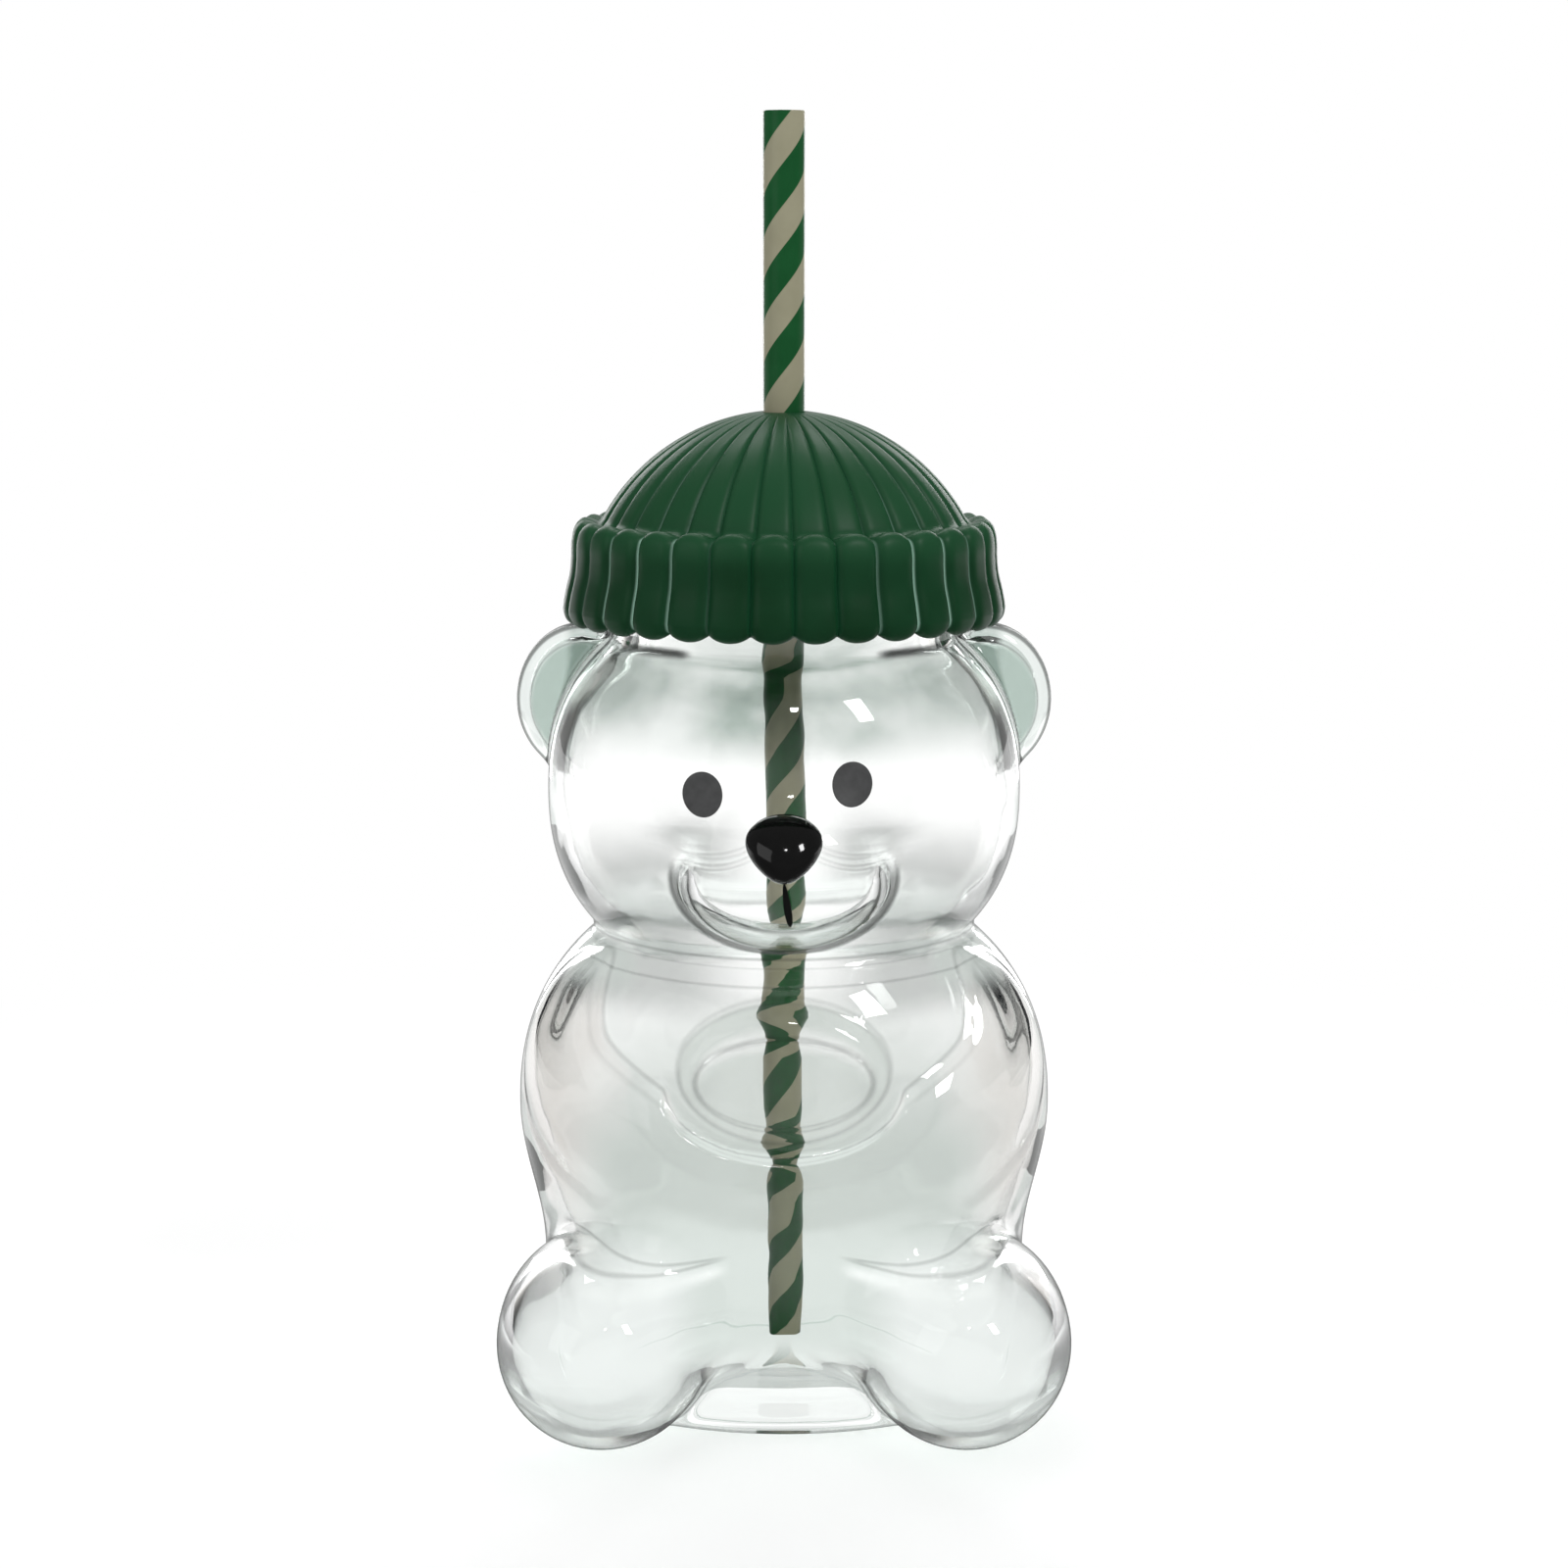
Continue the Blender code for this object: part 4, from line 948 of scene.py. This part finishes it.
def build_fittings(green, silicone):
    """Insert, seal and bush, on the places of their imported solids."""
    flange_z = BUSH_LOW.z
    flange_top = flange_z + FLANGE_THICKNESS
    flange_radius = 0.5 * (INSERT_HIGH.x - INSERT_LOW.x)
    seal_radius = 0.5 * (SEAL_HIGH.x - SEAL_LOW.x)
    bush_bore = STRAW_RADIUS + RUNNING_GAP
    bush_radius = bush_bore + BUSH_WALL
    boss_bore = bush_radius + FIT_GAP
    boss_radius = boss_bore + BOSS_WALL
    skirt_radius = MOUTH_RADIUS - WALL - SKIRT_GAP
    skirt_bore = skirt_radius - SKIRT_WALL
    groove_radius = seal_radius - GROOVE_DEPTH
    turned_piece("lid_plug", (
        (boss_bore, flange_z),
        (skirt_bore, flange_z),
        (skirt_bore, INSERT_LOW.z),
        (skirt_radius, INSERT_LOW.z),
        (skirt_radius, SEAL_LOW.z - FIT_GAP),
        (groove_radius, SEAL_LOW.z - FIT_GAP),
        (groove_radius, SEAL_HIGH.z + FIT_GAP),
        (skirt_radius, SEAL_HIGH.z + FIT_GAP),
        (skirt_radius, flange_z),
        (flange_radius, flange_z),
        (flange_radius, flange_top),
        (boss_radius, flange_top),
        (boss_radius, INSERT_HIGH.z),
        (boss_bore, INSERT_HIGH.z),
    ), FITTING_FILLET, green, "lid", "lid_insert")
    middle = 0.5 * (SEAL_LOW.z + SEAL_HIGH.z)
    turned_piece("mouth_seal", (
        (seal_radius - SEAL_THICKNESS, SEAL_LOW.z),
        (seal_radius - SEAL_CHAMFER, SEAL_LOW.z),
        (seal_radius, SEAL_LOW.z + SEAL_LIP_RISE),
        (seal_radius - SEAL_WAIST, middle),
        (seal_radius, SEAL_HIGH.z - SEAL_LIP_RISE),
        (seal_radius - SEAL_CHAMFER, SEAL_HIGH.z),
        (seal_radius - SEAL_THICKNESS, SEAL_HIGH.z),
    ), RUBBER_FILLET, silicone, "seal", "lid_seal")
    collar_z = BUSH_HIGH.z - BUSH_COLLAR
    turned_piece("straw_bush", (
        (bush_bore, BUSH_LOW.z),
        (bush_radius, BUSH_LOW.z),
        (bush_radius, collar_z),
        (boss_radius, collar_z),
        (boss_radius, BUSH_HIGH.z),
        (bush_bore, BUSH_HIGH.z),
    ), RUBBER_FILLET, silicone, "grommet", "straw_grommet")


def build_straw(finish):
    """Straw: a thin tube with rounded ends, stepped finely along its length."""
    bore = STRAW_RADIUS - STRAW_WALL
    low = STRAW_LOW.z
    high = STRAW_HIGH.z
    outline = rounded_outline((
        (bore, low), (STRAW_RADIUS, low), (STRAW_RADIUS, high), (bore, high),
    ), 0.5 * STRAW_WALL, 5)
    points = round_about(outline[:, 0], outline[:, 1], 128)
    add_surface("striped_straw", points, finish, "straw", ["straw"],
                rows_meet=True)


def operator(operation, reflected=False):
    """Method of a wire that adds a Math node, with its values turned if reflected."""
    def method(self, *others):
        values = (self, *others)
        turned = values[::-1] if reflected else values
        return self.paint.node("Math", {"operation": operation}, turned)
    return method


class Wire:
    """A shader socket in an expression: each operator adds its Math node."""

    def __init__(self, paint, socket):
        self.paint = paint
        self.socket = socket

    __add__ = operator("ADD")
    __radd__ = operator("ADD", True)
    __sub__ = operator("SUBTRACT")
    __rsub__ = operator("SUBTRACT", True)
    __mul__ = operator("MULTIPLY")
    __rmul__ = operator("MULTIPLY", True)
    __truediv__ = operator("DIVIDE")
    __pow__ = operator("POWER")
    __abs__ = operator("ABSOLUTE")
    fraction = operator("FRACT")

    def step(self, start, end):
        """Smooth step of this value from start to end."""
        settings = {"interpolation_type": "SMOOTHSTEP"}
        return self.paint.node("MapRange", settings, (self, start, end))

    def near(self, target, half_width, core=0.0):
        """1 up to the core's distance from a target, and 0 beyond the half width."""
        return 1.0 - abs(self - target).step(core, half_width)


class Paint:
    """Node tree of a material or the world, built from one generic node method."""

    def __init__(self, tree):
        self.tree = tree
        self.tree.nodes.clear()

    def node(self, kind, settings=None, inputs=(), output=0):
        """Add a node: its settings first, then the values or links of its sockets."""
        made = self.tree.nodes.new("ShaderNode" + kind)
        for key, value in (settings or {}).items():
            setattr(made, key, value)
        pairs = inputs.items() if isinstance(inputs, dict) else enumerate(inputs)
        for key, value in pairs:
            if isinstance(value, Wire):
                self.tree.links.new(value.socket, made.inputs[key])
            else:
                made.inputs[key].default_value = value
        if not made.outputs:
            return None
        return Wire(self, made.outputs[output])

    def place(self):
        """Object coordinates."""
        return self.node("TexCoord", output="Object")

    def ray(self, kind):
        """What the ray that meets the surface is, such as Is Camera Ray or Ray Depth."""
        return self.node("LightPath", output=kind)

    def parts_of(self, place):
        """The three numbers of a vector, each a wire."""
        split = self.node("SeparateXYZ", {}, (place,))
        return [Wire(self, socket) for socket in split.socket.node.outputs]

    def noise(self, place, size, detail=2.0, roughness=0.5):
        """Noise whose features are about the size given, in metres."""
        return self.node("TexNoise", {}, {
            "Vector": place, "Scale": 1.0 / size, "Detail": detail, "Roughness": roughness,
        })

    def mix(self, share, first, second):
        """Colour between two, by a share."""
        first, second = (
            value if isinstance(value, Wire) else (*value, 1.0) for value in (first, second)
        )
        settings = {"data_type": "RGBA"}
        return self.node("Mix", settings, {0: share, 6: first, 7: second}, 2)

    def mark(self, label):
        """Named value that the mesh carries."""
        return self.node("Attribute", {"attribute_name": label}, (), "Fac")

    def creases(self, form):
        """Painted dark shade lines along a form's crease in the glass, each with its darkness."""
        mark = self.mark(form + "_crease")
        return sum(
            darkness * mark.near(beside, half_width)
            for beside, half_width, darkness in PAINTED_CREASE_SHADE_LINES[form]
        )

    def bump(self, height, strength, distance):
        return self.node("Bump", {}, {
            "Strength": strength, "Distance": distance, "Height": height,
        })

    def surface(self, shader, kind="OutputMaterial"):
        self.node(kind, {}, {"Surface": shader})

    def coat(self, tint, roughness, bump, specular=0.5):
        """Opaque surface, with a bump given by its height, strength and distance."""
        self.surface(self.node("BsdfPrincipled", {}, {
            "Base Color": tint, "Roughness": roughness, "Specular IOR Level": specular,
            "Normal": self.bump(*bump),
        }))


def new_finish(name):
    material = bpy.data.materials.new(name)
    material.use_nodes = True
    return material, Paint(material.node_tree)


def oval_level(ways, aside, height, half_width, half_height):
    """Squared share of the way from an oval's middle to its edge."""
    across = (ways["side"] - aside) / half_width
    return across ** 2.0 + ((ways["up"] - height) / half_height) ** 2.0


def ovals(ways, drawn):
    """Painted dark shade oval lines on the front, each with its darkness."""
    return sum(
        darkness * (1.0 - (
            abs(oval_level(ways, 0.0, *oval) ** 0.5 - 1.0) * oval[2]
        ).step(0.0, half_width))
        for oval, half_width, darkness in drawn
    )


def over_arch(ways, lowest, aside, bend):
    """Height over a parabola that is lowest at its distance to the side."""
    return ways["up"] - (lowest + ((ways["side"] - aside) ** 2.0) * bend)


def painted_glass_shade_lines(paint, ways, on_ear, within):
    """Painted dark shade lines on the glass: along its creases, the ovals of the chest and
    the muzzle, the swept brow, the fold over each leg, a bracket under the lid and the
    ears' rolled edge."""
    sweep = over_arch(ways, *BROW_ARCH)
    brow = sweep.near(0.0, 0.0004) + sweep.near(0.0018, 0.0005)
    fold = over_arch(ways, *FOLD_ARCH).near(0.0, 0.0005) * region(ways, "over_leg")
    roll = on_ear * within.near(0.60, 0.04)
    return {
        "chest": paint.creases("arm") + region(ways, "front") * ovals(ways, PAINTED_PANEL_SHADE_OVALS),
        "neck": paint.creases("neck"),
        "brow": brow * region(ways, "brow"),
        "muzzle": ovals(ways, PAINTED_MUZZLE_SHADE_OVALS) * region(ways, "muzzle"),
        "leg": paint.creases("leg") * region(ways, "instep") + 0.35 * fold,
        "ears": paint.creases("ear") * region(ways, "over_neck") + 0.35 * roll,
        "bracket": ways["up"].near(BRACKET_Z, 0.0012) * region(ways, "bracket"),
        "helix": on_ear * within.step(0.85, 0.92),
    }


def glass_tint_and_painted_shading(paint, ways, place, on_ear, within, lines):
    """Colour of the glass: its own tint, with the painted light and shade of its regions
    and the painted dark shade of its lines laid over each other.
    """
    # Noise patches that break up the painted shade of the crown and the flanks.
    patch = paint.noise(place, 0.022, 3.0, 0.55).step(0.40, 0.62)
    bib = oval_level(ways, 0.0, *PANEL)
    crown = (0.5 + 0.5 * patch) * (1.0 - 0.45 * ways["side"].step(0.008, 0.024))
    lip = paint.mark("muzzle_crease").near(0.0026, 0.0036)
    hem = over_arch(ways, *FOLD_ARCH).near(-0.0022, 0.0018)
    shares = {name: region(ways, name) for name in ("face", "belly", "toes", "base", "jowl")}
    shares["flank"] = region(ways, "flank") * (0.6 + 0.4 * patch)
    shares["crown"] = region(ways, "crown") * crown
    shares["ear"] = on_ear
    shares["ear_middle"] = on_ear * (1.0 - within.step(0.50, 0.66))
    shares["bib"] = region(ways, "front") * (1.0 - bib.step(0.9, 1.1))
    shares["lip"] = region(ways, "lip") * lip * 0.45
    shares["hem"] = region(ways, "over_leg") * hem
    shares["lines"] = lines
    tint = GLASS_TINT_AND_PAINTED_SHADING["body"]
    for name in list(GLASS_TINT_AND_PAINTED_SHADING)[1:]:
        tint = paint.mix(shares[name], tint, GLASS_TINT_AND_PAINTED_SHADING[name])
    return tint


def calm_share(ways, depth):
    """How much of the light that is already in the glass passes straight on, so that
    total reflection doesn't fill the base, the neck and the ears with dull bands."""
    throat = ways["up"].near(THROAT_Z, 0.008, 0.003)
    crossed = depth.step(*CROSSED) * (region(ways, "low") + throat) * CALM
    inside = region(ways, "ears") + throat * ways["side"].step(0.024, 0.028)
    inside = inside + 0.8 * region(ways, "floor") + 0.2 * region(ways, "underside")
    entered = depth.step(*ENTERED) * inside * CALM
    return crossed + entered - crossed * entered


def clear_glass():
    """Blown glass with painted light and shade: clear in the face and the feet, painted grey
    shade in the belly and the jowls, painted grey-green shade in the ears and under the lid,
    where it is also a painted reflection of the lid, and a painted edge shade where it is
    seen edge on. Lines are fine grooves with painted dark shade along them, and they and the
    rims hold a little painted dull grey shade. Shadow rays pass, so that lamps light the
    inside, and so do rays that have crossed many surfaces and most rays already inside the
    base, the neck and the ears."""
    material, paint = new_finish("blown_glass")
    place = paint.place()
    x, y, z = paint.parts_of(place)
    ways = {"side": abs(x), "up": z, "front": 0.0 - y}
    (ear_x, ear_z, _), (ear_width, ear_height, _), _ = EAR
    within = oval_level(ways, ear_x, ear_z, ear_width, ear_height)
    on_ear = paint.mark("ear_crease").step(-0.0004, 0.0004) * region(ways, "over_neck")
    # Painted dark shade lines, whose darkness is laid into the tint.
    drawn = painted_glass_shade_lines(paint, ways, on_ear, within)
    lines = weighted(drawn, LINE_DARKNESS)
    clear = glass_tint_and_painted_shading(paint, ways, place, on_ear, within, lines)
    depth = paint.ray("Ray Depth")
    facing = paint.node("LayerWeight", {}, {"Blend": 0.5}, "Facing")
    waves = paint.noise(place, 0.012, 1.0) - lines * 0.16
    # Base colour: the painted shading, going over to the painted edge shade where the glass is
    # seen edge on.
    glass = paint.node("BsdfPrincipled", {}, {
        "Base Color": paint.mix(facing.step(0.66, 0.95) * 0.70, clear, PAINTED_EDGE_SHADE),
        "Roughness": 0.0, "IOR": 1.5, "Transmission Weight": 1.0,
        "Normal": paint.bump(waves, 0.5, 0.0005),
    })
    # Painted dull grey shade on rims seen edge on, along the feet's lower edge and in the lines.
    rim = facing.step(0.84, 0.95) * (1.0 - region(ways, "low") * depth.step(*ENTERED)) * 0.60
    rim = rim + region(ways, "foot_edge") * 0.25 + weighted(drawn, LINE_SHADE_GREY_SHARE)
    dull = paint.node("BsdfDiffuse", {}, {"Color": (*PAINTED_DULL_SHADE, 1.0)})
    glass = paint.node("MixShader", {}, (rim, glass, dull))
    straight = paint.node("BsdfTransparent", {}, ((*PASSING_TINT, 1.0),))
    stopped = (1.0 - paint.ray("Is Shadow Ray")) * (1.0 - depth.step(*SPENT))
    passing = 1.0 - stopped * (1.0 - calm_share(ways, depth))
    paint.surface(paint.node("MixShader", {}, (passing, glass, straight)))
    return material


def green_plastic():
    """Lid moulding: satin dark green with soft flow clouds and a fine spark-eroded grain,
    with a painted highlight on the top, painted paler highlights along its creases, and
    painted mint glints in the creases to both sides."""
    material, paint = new_finish("satin_green_moulding")
    place = paint.place()
    x, _, z = paint.parts_of(place)
    cloud = paint.noise(place, 0.016, 3.0)
    grain = paint.noise(place, 0.00035, 2.0)
    crease = paint.mark("crease")
    # Painted mint glints in the creases, only towards both sides.
    mint = crease.step(0.55, 0.95) * abs(x).step(0.010, 0.026)
    tint = paint.mix(cloud.step(0.3, 0.7), *LID_GREENS)
    # Painted highlight on the top, and paler painted highlights along the creases.
    tint = paint.mix(z.step(0.154, 0.161) * 0.6, tint, LID_PAINTED_TOP_LIGHT)
    tint = paint.mix(crease.step(0.25, 0.9) * 0.35, tint, LID_PAINTED_CREASE_LIGHT)
    tint = paint.mix(mint * 0.9, tint, LID_PAINTED_MINT_GLINT)
    paint.coat(tint, 0.36 + 0.08 * cloud + 0.04 * grain, (grain, 0.10, 0.0001), 0.22)
    return material


def striped_plastic():
    """Straw: green and cream stripes wound as a helix, by height and turn. The green is
    painted deeper below the lid, as painted shade where the straw stands in the glass."""
    material, paint = new_finish("striped_straw_plastic")
    place = paint.place()
    x, y, z = paint.parts_of(place)
    turn = paint.node("Math", {"operation": "ARCTAN2"}, (y - AXIS_Y, x))
    winding = (z / STRIPE_LEAD - turn / math.tau) * float(STRIPE_STARTS) + STRIPE_PHASE
    band = abs(winding.fraction() - 0.5)
    cloud = paint.noise(place, 0.006, 3.0)
    fleck = paint.noise(place, 0.0006, 2.0)
    green = paint.mix(cloud, *STRAW_GREENS)
    # Painted shade: deeper green below the lid, inside the glass.
    green = paint.mix(z.step(0.130, 0.136), STRAW_PAINTED_LOW_SHADE, green)
    stripes = paint.mix(band.step(0.243, 0.257), green, paint.mix(cloud, *STRAW_CREAMS))
    paint.coat(stripes, 0.26 + 0.10 * cloud, (fleck, 0.06, 0.0001), 0.30)
    return material


def pale_silicone():
    """Seal and bush: milky, slightly dusty silicone."""
    material, paint = new_finish("pale_silicone_rubber")
    place = paint.place()
    cloud = paint.noise(place, 0.008, 3.0)
    dust = paint.noise(place, 0.0008)
    paint.coat(paint.mix(cloud, *SILICONE_TINTS), 0.45 + 0.20 * cloud, (dust, 0.15, 0.0001))
    return material


def black_gloss():
    """Nose: deep black glossy bead with a faint orange-peel skin."""
    material, paint = new_finish("black_gloss_bead")
    cloud = paint.noise(paint.place(), 0.0030, 2.0)
    paint.coat(paint.mix(cloud, *NOSE_BLACKS), 0.05 + 0.06 * cloud, (cloud, 0.06, 0.0004))
    return material


def print_ink():
    """Eyes and mouth: dark grey ink, thinner in patches, and nearly black on the mouth."""
    material, paint = new_finish("dark_print_ink")
    place = paint.place()
    cloud = paint.noise(place, 0.0018, 3.0)
    speck = paint.noise(place, 0.0003, 1.0)
    height = paint.parts_of(place)[2]
    tint = paint.mix(height.step(0.104, 0.108), MOUTH_INK, paint.mix(cloud, *INK_GREYS))
    paint.coat(tint, 0.40 + 0.15 * cloud, (speck, 0.12, 0.00005), 0.35)
    return material


def add_floor():
    """Pale floor that goes over to plain white away from the object, so that it keeps
    the object's shadow and meets the backdrop without a line. Through glass and in
    reflections it glows as the backdrop does."""
    size = 8.0
    mesh = bpy.data.meshes.new("studio_floor")
    corners = [(-size, -size), (size, -size), (size, size), (-size, size)]
    mesh.from_pydata([(x, y, -0.0002) for x, y in corners], [], [(0, 1, 2, 3)])
    floor = bpy.data.objects.new("studio_floor", mesh)
    bpy.context.collection.objects.link(floor)
    material, paint = new_finish("white_studio_floor")
    place = paint.place()
    reach = paint.node("VectorMath", {"operation": "LENGTH"}, (place,), "Value")
    far = reach.step(0.10, 0.40)
    seen = paint.ray("Is Camera Ray")
    through_glass = paint.ray("Is Transmission Ray")
    shiny = paint.ray("Is Glossy Ray")
    grain = paint.noise(place, 0.004)
    near_floor = paint.node("BsdfPrincipled", {}, {
        "Base Color": paint.mix(grain, *FLOOR_GREYS),
        "Roughness": 0.9, "Specular IOR Level": 0.0,
        "Emission Color": paint.mix(seen, BLACK, FLOOR_LIFT), "Emission Strength": 1.0,
    })
    x, y, _ = paint.parts_of(place)
    refracted = BACKDROP_GLOW - 0.30 * abs(x).step(0.30, 0.90)
    refracted = refracted - 0.15 * (0.0 - y).step(0.15, 0.60)
    reflected = 0.12 + 0.88 * y.step(-0.10, 0.30)
    glow = seen + through_glass * refracted + shiny * reflected
    white = paint.node("Emission", {}, {
        "Color": paint.mix(glow / FLOOR_GLOW_LIMIT, BLACK, WHITE),
        "Strength": FLOOR_GLOW_LIMIT,
    })
    shown = seen * far + through_glass + shiny
    paint.surface(paint.node("MixShader", {}, (shown, near_floor, white)))
    mesh.materials.append(material)


def light_world():
    """White to the camera, through glass and in what reflects the far side, duller to
    the sides of the glass and in what reflects the near side, and a plain soft grey as a
    light."""
    world = bpy.data.worlds.new("studio")
    world.use_nodes = True
    bpy.context.scene.world = world
    paint = Paint(world.node_tree)
    camera = paint.ray("Is Camera Ray")
    through_glass = paint.ray("Is Transmission Ray")
    glossy = paint.ray("Is Glossy Ray")
    way = paint.node("TexCoord", output="Generated")
    x, y, z = paint.parts_of(way)
    sideways = abs(x).step(0.28, 0.72)
    upward = z.step(0.35, 0.85)
    refracted = BACKDROP_GLOW - 0.84 * sideways - 0.35 * upward
    reflected = 0.14 + 1.10 * y.step(0.80, 0.92) - 0.85 * y.step(0.970, 0.994)
    strength = WORLD_LIGHT + camera * (1.0 - WORLD_LIGHT)
    strength = strength + through_glass * (refracted - WORLD_LIGHT)
    strength = strength + glossy * (reflected - WORLD_LIGHT)
    light = paint.node("Background", {}, {
        "Color": paint.mix(sideways * through_glass, WHITE, WARM_WHITE),
        "Strength": strength,
    })
    paint.surface(light, "OutputWorld")


def add_lamp(name, place, width, height, power):
    """Soft lamp at a place, facing the object."""
    lamp = bpy.data.lights.new(name, "AREA")
    lamp.shape = "RECTANGLE"
    lamp.size = width
    lamp.size_y = height
    lamp.energy = power
    made = bpy.data.objects.new(name, lamp)
    made.location = place
    way = np.array(LAMP_TARGET) - np.array(place)
    flat = math.hypot(way[0], way[1])
    made.rotation_euler = (
        math.atan2(flat, -way[2]), 0.0, math.atan2(way[1], way[0]) - 0.5 * math.pi
    )
    made.visible_camera = False
    made.visible_transmission = False
    bpy.context.collection.objects.link(made)


def add_camera():
    """Camera at the photograph's distance, height and pitch, square to the face."""
    lens = bpy.data.cameras.new("photo_camera")
    lens.lens = CAMERA_LENS
    lens.sensor_width = 36.0
    lens.clip_start = 0.01
    camera = bpy.data.objects.new("photo_camera", lens)
    camera.location = (0.0, AXIS_Y - CAMERA_DISTANCE, CAMERA_HEIGHT)
    camera.rotation_euler = (0.5 * math.pi - CAMERA_PITCH, 0.0, 0.0)
    bpy.context.collection.objects.link(camera)
    bpy.context.scene.camera = camera


def light_scene():
    for lamp in LAMPS:
        add_lamp(*lamp)
    light_world()
    add_floor()
    add_camera()
    bpy.context.scene.view_settings.view_transform = "Standard"


def main():
    ink = print_ink()
    green = green_plastic()
    build_vessel(clear_glass())
    build_eyes(ink)
    build_mouth_line(ink)
    build_nose(black_gloss())
    build_lid(green)
    build_fittings(green, pale_silicone())
    build_straw(striped_plastic())
    light_scene()


main()
